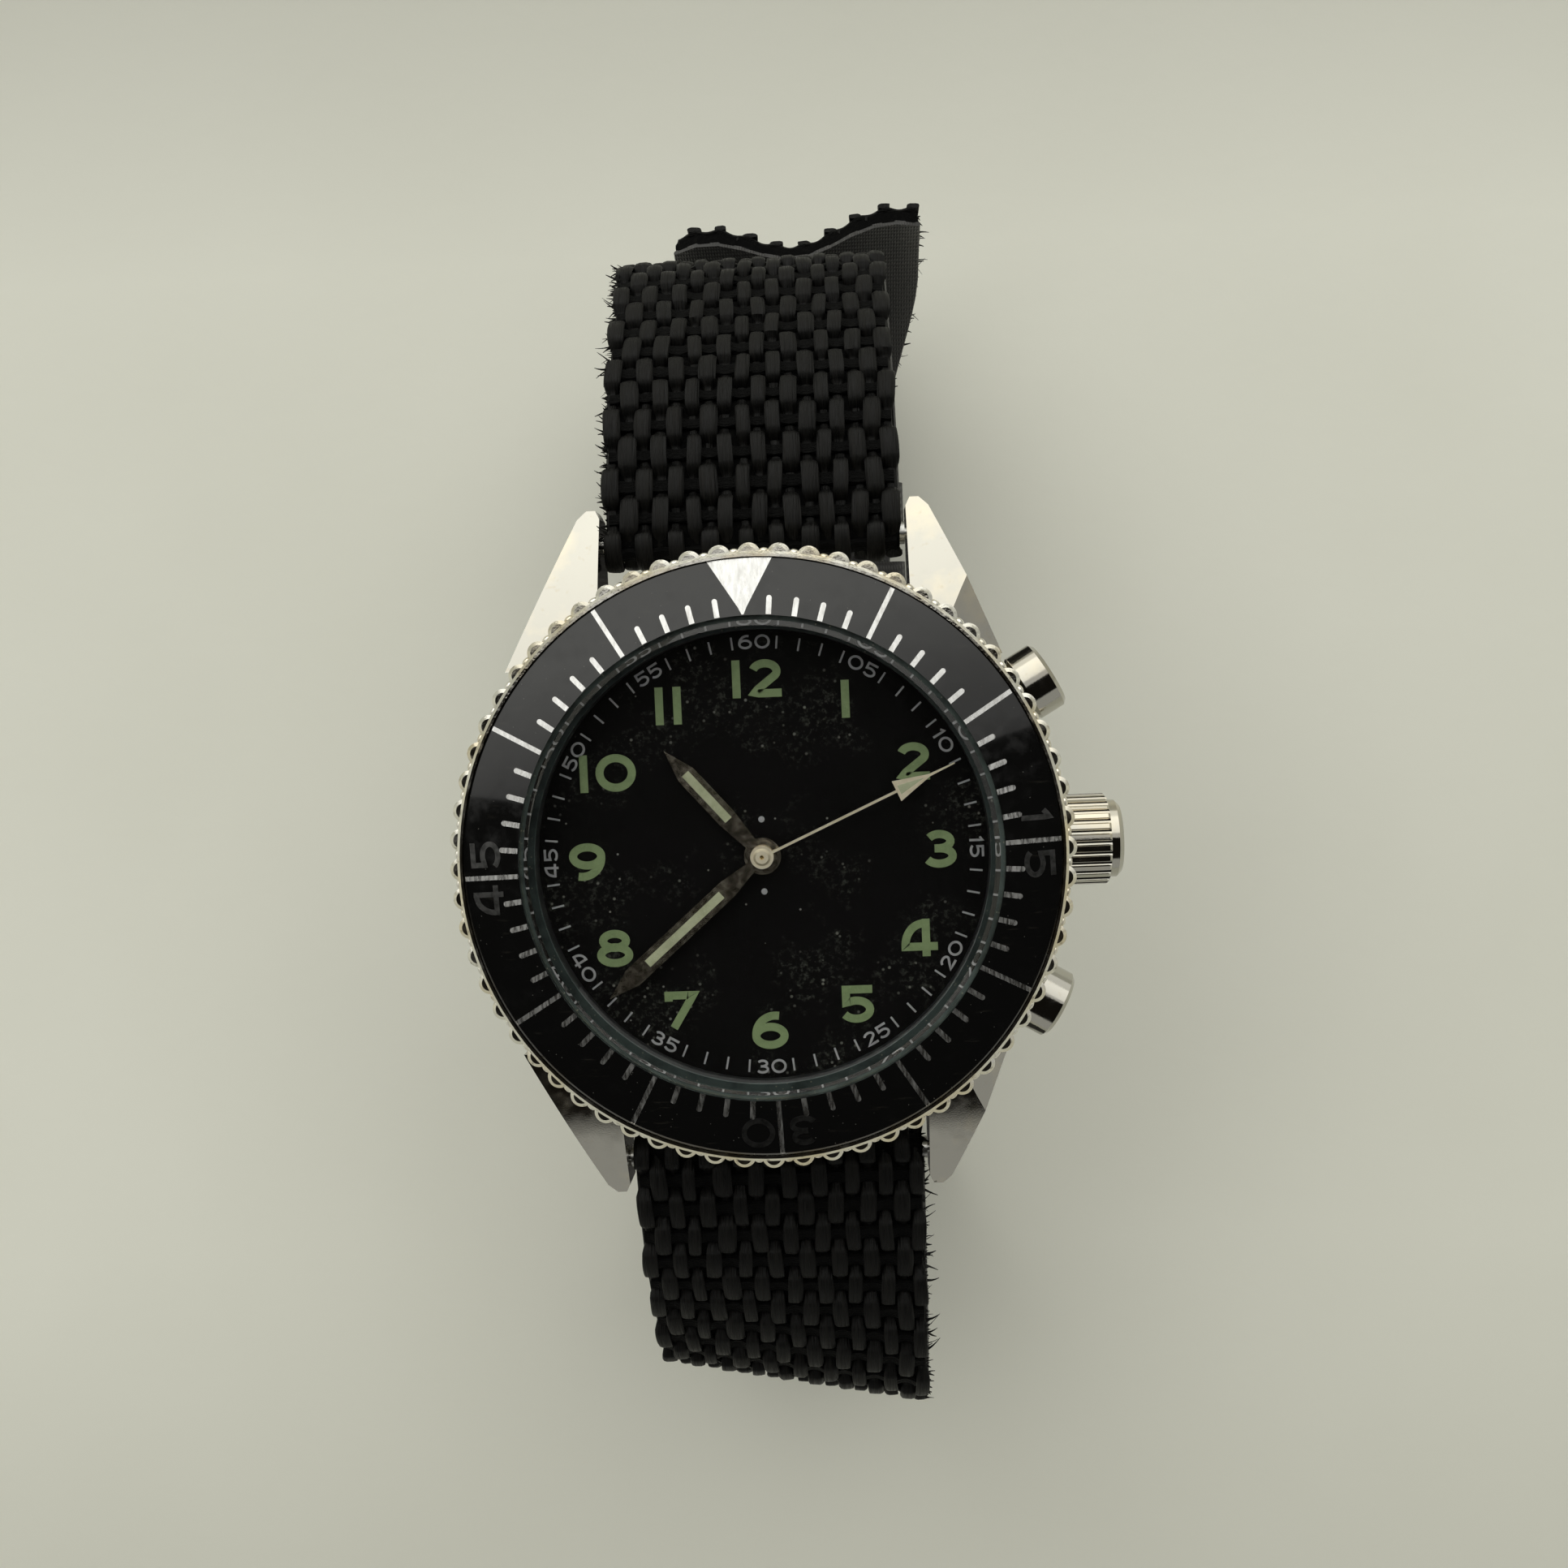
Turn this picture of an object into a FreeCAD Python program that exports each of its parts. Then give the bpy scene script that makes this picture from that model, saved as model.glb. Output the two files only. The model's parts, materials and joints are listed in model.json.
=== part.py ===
import FreeCAD, Part
import math
import os
import re
import Sketcher

# A pilot's watch with a rotating timing bezel, two pushers and a woven strap.
# Frame: +Z out of the dial, +Y towards 12 o'clock, +X towards the crown at 3 o'clock.
# The origin is on the hands' axis at the outer face of the case back. Millimetres and degrees.

SIZES = {
    # dial, crystal and case rings, from the middle outwards
    "dial_radius": 15.0,
    "dial_thickness": 0.4,
    "dial_hole_radius": 0.9,
    "fit_gap": 0.08,
    "slip_gap": 0.1,
    "flange_width": 0.4,
    "gasket_wall": 0.42,
    "neck_wall": 1.15,
    "crystal_thickness": 2.4,
    "crystal_bevel": 0.35,
    "crystal_shelf": 0.3,
    "neck_rise": 1.0,
    # heights, from the back upwards
    "back_thickness": 1.0,
    "back_lip": 1.2,
    "back_lip_width": 0.8,
    "back_rim": 1.3,
    "train_space": 2.9,
    "plate_thickness": 2.0,
    "hand_space": 1.7,
    # case
    "case_overhang": 0.8,
    "waist_step": 0.7,
    "case_foot": 0.7,
    "shoulder_bevel": 0.25,
    "lug_gap": 20.4,
    "lug_root_width": 6.0,
    "lug_tip_width": 1.5,
    "lug_tip_reach": 2.3,
    "lug_root_y": 12.5,
    "lug_tip_height": 2.9,
    "lug_foot": 0.4,
    "lug_tip_radius": 0.6,
    "lug_bevel": 1.5,
    "lug_bevel_angle": 38,
    "bar_height": 2.2,
    "bar_radius": 0.75,
    "bar_pivot_radius": 0.4,
    "bar_pivot_length": 0.7,
    "lug_hole_gap": 0.05,
    # bezel
    "bezel_height": 2.0,
    "bezel_float": 0.2,
    "bezel_glass_gap": 0.32,
    "insert_width": 3.65,
    "insert_thickness": 0.4,
    "insert_rise": 0.65,
    "rim_width": 0.4,
    "rim_rise": 0.2,
    "rim_bevel": 0.2,
    "bump_height": 0.55,
    "bump_radius": 0.75,
    "bump_bevel": 0.25,
    "bump_low": 0.3,
    "bump_length": 1.45,
    "bump_count": 64,
    "spring_height": 0.23,
    "spring_bite": 0.35,
    "spring_level": 0.85,
    "spring_split_angle": 14,
    "oring_radius": 0.2,
    # crown
    "stem_lift": 0.2,
    "crown_radius": 3.0,
    "crown_length": 3.3,
    "crown_cap_length": 0.85,
    "crown_cap_step": 0.45,
    "crown_cap_bevel": 0.3,
    "crown_gap": 0.75,
    "crown_wall": 1.0,
    "crown_flutes": 26,
    "flute_radius": 0.22,
    "tube_radius": 1.3,
    "tube_reach": 1.75,
    "stem_radius": 0.45,
    "stem_inner_x": 4.9,
    "stem_neck_radius": 0.2,
    "stem_neck_x": 8.95,
    "stem_neck_length": 0.55,
    # keyless work
    "slider_radius": 0.9,
    "slider_groove_radius": 0.62,
    "slider_x": 6.1,
    "slider_length": 1.4,
    "slider_groove_width": 0.5,
    "lever_thickness": 0.25,
    "lever_pin_radius": 0.13,
    "lever_pivot_x": 9.62,
    "lever_pivot_y": 2.2,
    "lever_gap": 0.12,
    "lever_half_width": 0.286,
    "stator_reach": 1.68,
    "pusher_spring_turns": 6,
    "channel_margin": 0.3,
    "yoke_thickness": 0.2,
    "yoke_pivot_y": 3.6,
    # pushers
    "pusher_angle": 30,
    "pusher_radius": 2.3,
    "pusher_cap_length": 2.2,
    "pusher_bevel": 0.25,
    "pusher_travel": 0.8,
    "pusher_stem_radius": 0.6,
    "pusher_tube_radius": 1.5,
    "pusher_spring_radius": 0.9,
    "pusher_spring_wire": 0.12,
    "pusher_chamber_wall": 0.3,
    "pusher_chamber_depth": 2.3,
    "pusher_tube_reach": 0.5,
    "clip_radius": 1.2,
    "clip_thickness": 0.2,
    "stem_end": 0.35,
    # movement
    "plate_radius": 12.8,
    "holder_gap": 0.1,
    "holder_foot": 1.3,
    "bridge_thickness": 0.6,
    "bridge_space": 1.8,
    "motion_recess": 1.0,
    "channel_half_width": 1.3,
    "channel_depth": 1.15,
    "screw_radius": 0.8,
    "screw_head": 0.25,
    "screw_shank": 0.3,
    "battery_radius": 3.4,
    "battery_height": 2.1,
    "battery_place": 8.9,
    "battery_angle": 195,
    "strap_plate": 0.2,
    "coil_radius": 1.0,
    "coil_length": 6.4,
    "coil_x": 2.1,
    "coil_y": 9.4,
    "core_thickness": 0.3,
    "core_width": 1.3,
    "stator_hole": 1.0,
    "board_thickness": 0.3,
    "board_inner": 7.3,
    "board_outer": 12.3,
    "can_radius": 0.75,
    "can_length": 5.0,
    # gear train
    "gear_thickness": 0.15,
    "pinion_thickness": 0.35,
    "second_rise": 0.27,
    "third_rise": 0.38,
    "centre_rise": 0.5,
    "hour_wheel_drop": 0.4,
    "pivot_radius": 0.14,
    "pivot_gap": 0.05,
    "seconds_module": 0.09,
    "fifth_module": 0.105,
    "centre_module": 0.085,
    "cannon_module": 0.104,
    "hour_module": 0.1,
    "rotor_radius": 0.8,
    "rotor_height": 0.6,
    "cannon_radius": 0.42,
    "cannon_bore": 0.2,
    "hour_pipe_radius": 0.75,
    "hour_pipe_bore": 0.48,
    "minute_post_radius": 0.2,
    "minute_bore": 0.26,
    # hands
    "hour_length": 9.3,
    "hour_lume_start": 3.2,
    "hour_lume_end": 7.3,
    "hour_width": 1.3,
    "minute_length": 13.6,
    "minute_lume_start": 3.6,
    "minute_lume_end": 10.2,
    "minute_width": 1.3,
    "seconds_length": 13.7,
    "seconds_width": 0.16,
    "seconds_triangle_width": 1.4,
    "hour_boss": 1.2,
    "minute_boss": 1.0,
    "seconds_boss": 0.75,
    "hand_thickness": 0.15,
    "hand_spacing": 0.4,
    "hand_lift": 0.35,
    "lume_width": 0.55,
    "hour_angle": 319.1,
    "minute_angle": 229.1,
    "seconds_angle": 66,
    # strap
    "strap_side_gap": 0.3,
    "strap_thickness": 2.0,
    "strap_eye_wall": 1.1,
    "strap_bar_gap": 0.08,
    "strap_slope": 12,
    "shoulder_arc": 45,
    "upper_turn": 28,
    "upper_arc": 11,
    "buckle_setback": 8.8,
    "lower_turn": 22,
    "lower_edge_arc": 9,
    "lower_side_arc": 30,
    "lower_side_turn": 30,
    "lower_corner_arc": 15.8,
    "tail_reach": 8.1,
    "tail_arc": 19.5,
    "tail_flare": 1.6,
    "tail_flare_turn": 8,
    "hole_radius": 0.9,
    "hole_pitch": 5.5,
    "hole_count": 7,
    "hole_first_y": -12.0,
    # buckle and keepers
    "buckle_bar_radius": 0.75,
    "buckle_wire": 1.8,
    "buckle_side": 2.0,
    "buckle_length": 8.5,
    "buckle_side_gap": 0.35,
    "tongue_width": 1.6,
    "tongue_thickness": 0.9,
    "tongue_slot": 2.6,
    "tongue_slot_depth": 2.6,
    "keeper_width": 4.0,
    "keeper_wall": 0.9,
    "keeper_gap": 0.35,
    "keeper_room": 2.6,
    "fixed_keeper_setback": 3.8,
    "keeper_spacing": 6.5,
}

# Sizes that follow from the cells above. Each is text, so that a sketch can be bound to it.
DERIVED = {
    "flange_inner": "dial_radius - flange_width",
    "bore_radius": "dial_radius + fit_gap",
    "crystal_radius": "dial_radius + fit_gap",
    "gasket_outer": "crystal_radius + gasket_wall",
    "neck_outer": "gasket_outer + neck_wall",
    "bezel_inner": "neck_outer + slip_gap",
    "insert_inner": "crystal_radius + bezel_glass_gap",
    "insert_outer": "insert_inner + insert_width",
    "valley_radius": "insert_outer + rim_width",
    "bezel_outer": "valley_radius + bump_height",
    "case_radius": "bezel_outer - case_overhang",
    "waist_radius": "case_radius - waist_step",
    "plate_low": "back_thickness + train_space",
    "dial_low": "plate_low + plate_thickness",
    "dial_top": "dial_low + dial_thickness",
    "crystal_low": "dial_top + hand_space",
    "crystal_top": "crystal_low + crystal_thickness",
    "neck_top": "crystal_low + neck_rise",
    "bezel_low": "neck_top + slip_gap + insert_thickness - bezel_height",
    "case_top": "bezel_low - bezel_float",
    "insert_top": "neck_top + slip_gap + 2 * insert_thickness + slip_gap",
    "insert_edge": "insert_top - insert_rise",
    "rim_top": "insert_edge + rim_rise",
    "stem_height": "plate_low + stem_lift",
    "lip_outer": "bore_radius + back_rim",
    "bar_y": "waist_radius + strap_bar_gap + bar_radius + strap_bar_gap + strap_eye_wall + 4 * fit_gap",
    "lug_tip_y": "bar_y + lug_tip_reach",
    "lug_inner": "lug_gap / 2",
    "strap_width": "lug_gap - 2 * strap_side_gap",
    "crown_inner_x": "case_radius - waist_step + crown_gap",
    "crown_outer_x": "crown_inner_x + crown_length + crown_cap_length",
    "crown_hollow_x": "crown_inner_x + crown_length - crown_wall",
    "pusher_face": "waist_radius + pusher_tube_reach + slip_gap + pusher_travel",
    "pusher_stem_inner": "bore_radius - clip_thickness - stem_end",
    "bridge_top": "plate_low - bridge_space",
    "bridge_low": "bridge_top - bridge_thickness",
    "fifth_level": "bridge_top + gear_thickness",
    "second_level": "fifth_level + second_rise",
    "third_level": "second_level + third_rise",
    "centre_level": "third_level + centre_rise",
    "recess_floor": "dial_low - motion_recess",
    "minute_wheel_level": "recess_floor + gear_thickness",
    "hour_wheel_level": "dial_low - hour_wheel_drop",
    "hour_hand_low": "dial_top + hand_lift",
    "minute_hand_low": "hour_hand_low + hand_spacing",
    "seconds_hand_low": "minute_hand_low + hand_spacing",
}

WORD = re.compile(r"[a-z][a-z0-9_]*")
ALONG_X = FreeCAD.Rotation(FreeCAD.Vector(0, 1, 0), 90)
UPRIGHT = FreeCAD.Rotation()

doc = FreeCAD.newDocument("Watch")
sheet = doc.addObject("Spreadsheet::Sheet", "Sizes")
for row, (alias, number) in enumerate(SIZES.items(), 1):
    sheet.set(f"A{row}", alias)
    sheet.set(f"B{row}", str(number))
    sheet.setAlias(f"B{row}", alias)
doc.recompute()

nodes = []


def formula(text):
    """The text with every size spelled out in cells of the sheet."""
    def spell(match):
        word = match.group(0)
        if word in SIZES:
            return f"Sizes.{word}"
        if word in DERIVED:
            return f"({formula(DERIVED[word])})"
        return word
    return WORD.sub(spell, str(text))


def value(text):
    """The size that a text stands for, as a number."""
    return float(sheet.evalExpression(formula(text)))


def vector(x, y, z):
    return FreeCAD.Vector(x, y, z)


def around(radius, degrees, z=0.0):
    """A point at a radius and an angle about the Z axis."""
    angle = math.radians(degrees)
    return vector(radius * math.cos(angle), radius * math.sin(angle), z)


def keep(piece, label):
    """Name a finished piece: it becomes a node of its own."""
    piece.Label = label
    nodes.append(piece)
    return piece


def place(piece, x=0, y=0, z=0, rotation=UPRIGHT):
    """Put an object at a place that follows the sheet."""
    piece.Placement = FreeCAD.Placement(vector(value(x), value(y), value(z)), rotation)
    for direction, text in (("x", x), ("y", y), ("z", z)):
        if str(text) != "0":
            piece.setExpression(f"Placement.Base.{direction}", formula(text))
    return piece


# ---------------------------------------------------------------- sketches and features

def new_body(name):
    return doc.addObject("PartDesign::Body", name)


def new_sketch(body, name, role="XY_Plane", lift="0"):
    """A sketch on one of the body's own origin planes, raised along the plane's normal."""
    sketch = body.newObject("Sketcher::SketchObject", name)
    plane = [item for item in body.Origin.OriginFeatures if item.Role == role][0]
    sketch.AttachmentSupport = [(plane, "")]
    sketch.MapMode = "FlatFace"
    if lift != "0":
        sketch.setExpression("AttachmentOffset.Base.z", formula(lift))
    return sketch


def tie(sketch, kind, item, text):
    """Hold one vertex or centre at a distance from the sketch's origin."""
    where, end = item
    if str(text) == "0":
        axis = -2 if kind == "DistanceX" else -1
        sketch.addConstraint(Sketcher.Constraint("PointOnObject", where, end, axis))
        return
    index = sketch.addConstraint(Sketcher.Constraint(kind, -1, 1, where, end, value(text)))
    sketch.setExpression(f"Constraints[{index}]", formula(text))


def outline(sketch, corners):
    """A closed outline of straight lines through corners given as pairs of texts."""
    count = len(corners)
    spots = [vector(value(x), value(y), 0) for x, y in corners]
    first = sketch.GeometryCount
    for index in range(count):
        sketch.addGeometry(Part.LineSegment(spots[index], spots[(index + 1) % count]))
    for index in range(count):
        following = first + (index + 1) % count
        sketch.addConstraint(Sketcher.Constraint("Coincident", first + index, 2, following, 1))
    for index, (x, y) in enumerate(corners):
        tie(sketch, "DistanceX", (first + index, 1), x)
        tie(sketch, "DistanceY", (first + index, 1), y)
    return sketch


def circle(sketch, x, y, radius):
    shape = Part.Circle(vector(value(x), value(y), 0), vector(0, 0, 1), value(radius))
    index = sketch.addGeometry(shape)
    tie(sketch, "DistanceX", (index, 3), x)
    tie(sketch, "DistanceY", (index, 3), y)
    bound = sketch.addConstraint(Sketcher.Constraint("Radius", index, value(radius)))
    sketch.setExpression(f"Constraints[{bound}]", formula(radius))
    return sketch


def turn(body, corners, name="Turned", feature="PartDesign::Revolution"):
    """Turn an outline of (radius, height) corners about the body's Z axis."""
    sketch = outline(new_sketch(body, f"{name}Outline", "XZ_Plane"), corners)
    turned = body.newObject(feature, name)
    turned.Profile = sketch
    turned.ReferenceAxis = (sketch, ["V_Axis"])
    turned.Angle = 360
    doc.recompute()
    return turned


def pad(body, sketch, length, name="Pad"):
    padded = body.newObject("PartDesign::Pad", name)
    padded.Profile = sketch
    padded.Length = value(length)
    padded.setExpression("Length", formula(length))
    doc.recompute()
    return padded


def pocket(body, sketch, length, name="Pocket", upwards=True):
    """Cut a sketch's outline out of the body, upwards from the sketch unless told otherwise."""
    before = body.Shape.Volume
    cut = body.newObject("PartDesign::Pocket", name)
    cut.Profile = sketch
    cut.Length = value(length)
    cut.setExpression("Length", formula(length))
    cut.Reversed = upwards
    doc.recompute()
    if body.Shape.Volume >= before:
        raise RuntimeError(f"{name} cuts nothing from {body.Name}")
    return cut


def repeat(body, feature, count, name="Repeat"):
    """Repeat a feature evenly about the body's Z axis."""
    pattern = body.newObject("PartDesign::PolarPattern", name)
    pattern.Originals = [feature]
    axis = [item for item in body.Origin.OriginFeatures if item.Role == "Z_Axis"][0]
    pattern.Axis = (axis, [""])
    pattern.Angle = 360
    pattern.Occurrences = int(value(count))
    pattern.setExpression("Occurrences", formula(count))
    body.Tip = pattern
    doc.recompute()
    return pattern


def ring(label, inner, outer, low, high):
    """A plain ring about Z with a rectangular section."""
    body = new_body(label)
    turn(body, [(inner, low), (outer, low), (outer, high), (inner, high)])
    return keep(body, label)


def cylinder(name, radius, height, x=0, y=0, z=0, rotation=UPRIGHT):
    solid = doc.addObject("Part::Cylinder", name)
    solid.setExpression("Radius", formula(radius))
    solid.setExpression("Height", formula(height))
    return place(solid, x, y, z, rotation)


def block(name, length, width, height, x=0, y=0, z=0):
    solid = doc.addObject("Part::Box", name)
    solid.setExpression("Length", formula(length))
    solid.setExpression("Width", formula(width))
    solid.setExpression("Height", formula(height))
    return place(solid, x, y, z)


def cut(name, base, tools):
    """The base without any of the tools."""
    result = doc.addObject("Part::Cut", name)
    result.Base = base
    result.Tool = tools[0] if len(tools) == 1 else fuse(f"{name}Tools", tools)
    doc.recompute()
    return result


def fuse(name, pieces):
    result = doc.addObject("Part::MultiFuse", name)
    result.Shapes = pieces
    doc.recompute()
    return result


def made(label, shape, x=0, y=0, z=0, rotation=UPRIGHT):
    """A node whose shape is set outright, for outlines that no feature draws."""
    piece = doc.addObject("Part::Feature", label)
    piece.Shape = shape
    place(piece, x, y, z, rotation)
    return keep(piece, label)


def plate(points, low, high, holes=()):
    """An upright prism over straight-sided points, less round holes given as (point, radius)."""
    base = [vector(point.x, point.y, low) for point in points]
    solid = Part.Face(Part.makePolygon(base + [base[0]])).extrude(vector(0, 0, high - low))
    for spot, radius in holes:
        drill = Part.makeCylinder(radius, high - low, vector(spot.x, spot.y, low))
        solid = solid.cut(drill)
    return solid


# ---------------------------------------------------------------- case

def lug_outline(body, side_x, side_y):
    """One lug seen from the front: a horn whose inner side is straight, padded from its foot up."""
    sketch = new_sketch(body, "HornOutline", lift="lug_foot")
    corners = [
        ("lug_inner", "lug_root_y"),
        ("lug_inner + lug_root_width", "lug_root_y"),
        ("lug_inner + lug_tip_width", "lug_tip_y - lug_tip_radius"),
        ("lug_inner + lug_tip_width - lug_tip_radius", "lug_tip_y"),
        ("lug_inner + lug_tip_radius / 2", "lug_tip_y"),
        ("lug_inner", "lug_tip_y - lug_tip_radius"),
    ]
    outline(sketch, [(f"({side_x}) * ({x})", f"({side_y}) * ({y})") for x, y in corners])
    return sketch


def lugs():
    """Four horns, domed along their length and bevelled on their outer sides."""
    horns = []
    for side_x in (1, -1):
        for side_y in (1, -1):
            body = new_body(f"Horn{len(horns)}")
            pad(body, lug_outline(body, side_x, side_y), "case_top - lug_foot")
            horns.append(body)
    rise = value("case_top - lug_tip_height")
    root = value("lug_root_y")
    reach = value("lug_tip_y")
    drop = (reach ** 2 - root ** 2 - rise ** 2) / (2 * rise)
    dome = doc.addObject("Part::Cylinder", "LugDome")
    dome.Radius = math.hypot(root, drop + rise)
    dome.Height = 4 * value("lug_gap")
    depth = value("lug_tip_height") - drop
    dome.Placement = FreeCAD.Placement(vector(-2 * value("lug_gap"), 0, depth), ALONG_X)
    domed = doc.addObject("Part::Common", "DomedLugs")
    domed.Base = fuse("Horns", horns)
    domed.Tool = dome
    doc.recompute()
    bevels = []
    for side in (1, -1):
        bevel = block(f"LugBevel{side}", "2 * lug_root_width", "4 * lug_gap", "2 * lug_root_width")
        lean = value("lug_bevel_angle") if side > 0 else value("lug_bevel_angle") - 90
        tilt = FreeCAD.Rotation(vector(0, 1, 0), lean)
        x = side * value("lug_inner + lug_bevel")
        bevel.Placement = FreeCAD.Placement(vector(x, -2 * value("lug_gap"), value("case_top")), tilt)
        bevels.append(bevel)
    return cut("BevelledLugs", domed, bevels)


def case_middle():
    """The turned case with its neck, the lugs, and the bores for back, movement, crown and pushers."""
    core = new_body("CaseCore")
    turn(core, [
        ("0", "case_foot"),
        ("case_radius - 2 * waist_step", "case_foot"),
        ("waist_radius", "case_foot + waist_step"),
        ("waist_radius", "stem_height + waist_step"),
        ("case_radius", "case_top - 2 * shoulder_bevel"),
        ("case_radius", "case_top - shoulder_bevel"),
        ("case_radius - shoulder_bevel", "case_top"),
        ("neck_outer", "case_top"),
        ("neck_outer", "neck_top - spring_level - spring_height"),
        ("neck_outer - spring_bite", "neck_top - spring_level - spring_height"),
        ("neck_outer - spring_bite", "neck_top - spring_level"),
        ("neck_outer", "neck_top - spring_level"),
        ("neck_outer", "neck_top"),
        ("0", "neck_top"),
    ])
    hollow = new_body("CaseHollow")
    turn(hollow, [
        ("0", "0"),
        ("lip_outer + back_rim", "0"),
        ("lip_outer + back_rim", "case_foot"),
        ("lip_outer", "case_foot"),
        ("lip_outer", "back_thickness + back_lip + fit_gap"),
        ("bore_radius", "back_thickness + back_lip + fit_gap"),
        ("bore_radius", "crystal_low - crystal_shelf"),
        ("gasket_outer", "crystal_low - crystal_shelf"),
        ("gasket_outer", "neck_top + back_thickness"),
        ("0", "neck_top + back_thickness"),
    ])
    drills = [hollow]
    reach = "case_radius"
    drills.append(cylinder("CrownBore", "tube_radius", reach, 0, 0, "stem_height", ALONG_X))
    for side in (1, -1):
        aim = FreeCAD.Rotation(vector(0, 0, 1), side * value("pusher_angle")).multiply(ALONG_X)
        drills.append(cylinder(f"PusherBore{side}", "pusher_tube_radius", reach, 0, 0, "stem_height", aim))
        length = "lug_gap + 2 * (bar_pivot_length + lug_hole_gap)"
        drills.append(cylinder(f"BarHole{side}", "bar_pivot_radius + lug_hole_gap", length,
                               f"-({length}) / 2", f"{side} * bar_y", "bar_height", ALONG_X))
    whole = fuse("CaseSolid", [core, lugs()])
    keep(cut("CaseMiddle", whole, drills), "case_middle")


def case_back():
    body = new_body("CaseBack")
    inner = "lip_outer - back_lip_width"
    turn(body, [
        ("0", "0"),
        ("lip_outer - back_lip_width", "0"),
        ("lip_outer + back_rim - shoulder_bevel", "case_foot - shoulder_bevel"),
        ("lip_outer + back_rim - shoulder_bevel", "case_foot"),
        ("lip_outer", "case_foot"),
        ("lip_outer", "back_thickness + back_lip"),
        (inner, "back_thickness + back_lip"),
        (inner, "back_thickness"),
        ("0", "back_thickness"),
    ])
    keep(body, "case_back")
    ring("case_back_gasket", "bore_radius", inner, "back_thickness + back_lip - 2 * oring_radius",
         "back_thickness + back_lip")


def crystal():
    body = new_body("Crystal")
    turn(body, [
        ("0", "crystal_low"),
        ("crystal_radius", "crystal_low"),
        ("crystal_radius", "crystal_top - crystal_bevel"),
        ("crystal_radius - crystal_bevel", "crystal_top"),
        ("0", "crystal_top"),
    ])
    keep(body, "crystal")
    seal = new_body("CrystalGasket")
    turn(seal, [
        ("flange_inner", "crystal_low - crystal_shelf"),
        ("gasket_outer", "crystal_low - crystal_shelf"),
        ("gasket_outer", "neck_top"),
        ("crystal_radius", "neck_top"),
        ("crystal_radius", "crystal_low"),
        ("flange_inner", "crystal_low"),
    ])
    keep(seal, "crystal_gasket")


def bezel():
    """The turning ring with its oval bumps, the printed insert, and what holds the ring on."""
    body = new_body("BezelRing")
    turn(body, [
        ("bezel_inner", "bezel_low"),
        ("bezel_inner + 2 * oring_radius", "bezel_low"),
        ("bezel_inner + 2 * oring_radius", "bezel_low + 2 * oring_radius"),
        ("bezel_inner + 5 * oring_radius", "bezel_low + 2 * oring_radius"),
        ("bezel_inner + 5 * oring_radius", "bezel_low"),
        ("valley_radius - rim_bevel", "bezel_low"),
        ("valley_radius", "bezel_low + rim_bevel"),
        ("valley_radius", "rim_top - rim_bevel"),
        ("valley_radius - rim_bevel", "rim_top"),
        ("insert_inner", "insert_top - insert_thickness"),
        ("insert_inner", "neck_top + slip_gap"),
        ("bezel_inner", "neck_top + slip_gap"),
        ("bezel_inner", "neck_top - spring_level + fit_gap"),
        ("bezel_inner + spring_bite", "neck_top - spring_level + fit_gap"),
        ("bezel_inner + spring_bite", "neck_top - spring_level - spring_height - fit_gap"),
        ("bezel_inner", "neck_top - spring_level - spring_height - fit_gap"),
    ])
    sketch = new_sketch(body, "BumpOutline", "XZ_Plane")
    centre = "bezel_outer - bump_radius"
    low = "bezel_low + bump_low"
    high = "bezel_low + bump_low + bump_length"
    outline(sketch, [
        (centre, low),
        ("bezel_outer - bump_bevel", low),
        ("bezel_outer", f"{low} + bump_bevel"),
        ("bezel_outer", f"{high} - bump_bevel"),
        ("bezel_outer - bump_bevel", high),
        (centre, high),
    ])
    bump = body.newObject("PartDesign::Revolution", "Bump")
    bump.Profile = sketch
    bump.ReferenceAxis = (sketch, ["Edge6"])
    bump.Angle = 360
    doc.recompute()
    repeat(body, bump, "bump_count", "Bumps")
    turn(body, [
        ("insert_inner", "insert_top - insert_thickness - fit_gap / 2"),
        ("insert_outer + fit_gap / 2", "insert_edge - insert_thickness - fit_gap / 2"),
        ("insert_outer + fit_gap / 2", "insert_top"),
        ("insert_inner", "insert_top"),
    ], "InsertSeat", "PartDesign::Groove")
    keep(body, "bezel_ring")
    insert = new_body("BezelInsert")
    turn(insert, [
        ("insert_inner", "insert_top - insert_thickness"),
        ("insert_outer", "insert_edge - insert_thickness"),
        ("insert_outer", "insert_edge"),
        ("insert_inner", "insert_top"),
    ])
    keep(insert, "bezel_insert")
    spring = new_body("BezelSpring")
    low = "neck_top - spring_level - spring_height"
    outer = "bezel_inner + spring_bite - slip_gap"
    split = turn(spring, [
        ("neck_outer - spring_bite", low),
        (outer, low),
        (outer, "neck_top - spring_level"),
        ("neck_outer - spring_bite", "neck_top - spring_level"),
    ])
    split.setExpression("Angle", formula("360 - spring_split_angle"))
    keep(spring, "bezel_spring")
    ring("bezel_gasket", "bezel_inner + 2 * oring_radius + slip_gap",
         "bezel_inner + 5 * oring_radius - slip_gap", "case_top", "bezel_low + oring_radius")


# ---------------------------------------------------------------- dial and hands

def dial():
    ring("dial", "dial_hole_radius", "dial_radius", "dial_low", "dial_top")
    flange = new_body("DialFlange")
    turn(flange, [
        ("flange_inner", "dial_top"),
        ("bore_radius", "dial_top"),
        ("bore_radius", "crystal_low - crystal_shelf"),
        ("flange_inner + fit_gap", "crystal_low - crystal_shelf"),
    ])
    keep(flange, "dial_flange")


def aimed(name):
    """The turn, clockwise from 12 o'clock, that sets a hand to its time."""
    return FreeCAD.Rotation(vector(0, 0, 1), -value(f"{name}_angle"))


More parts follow.
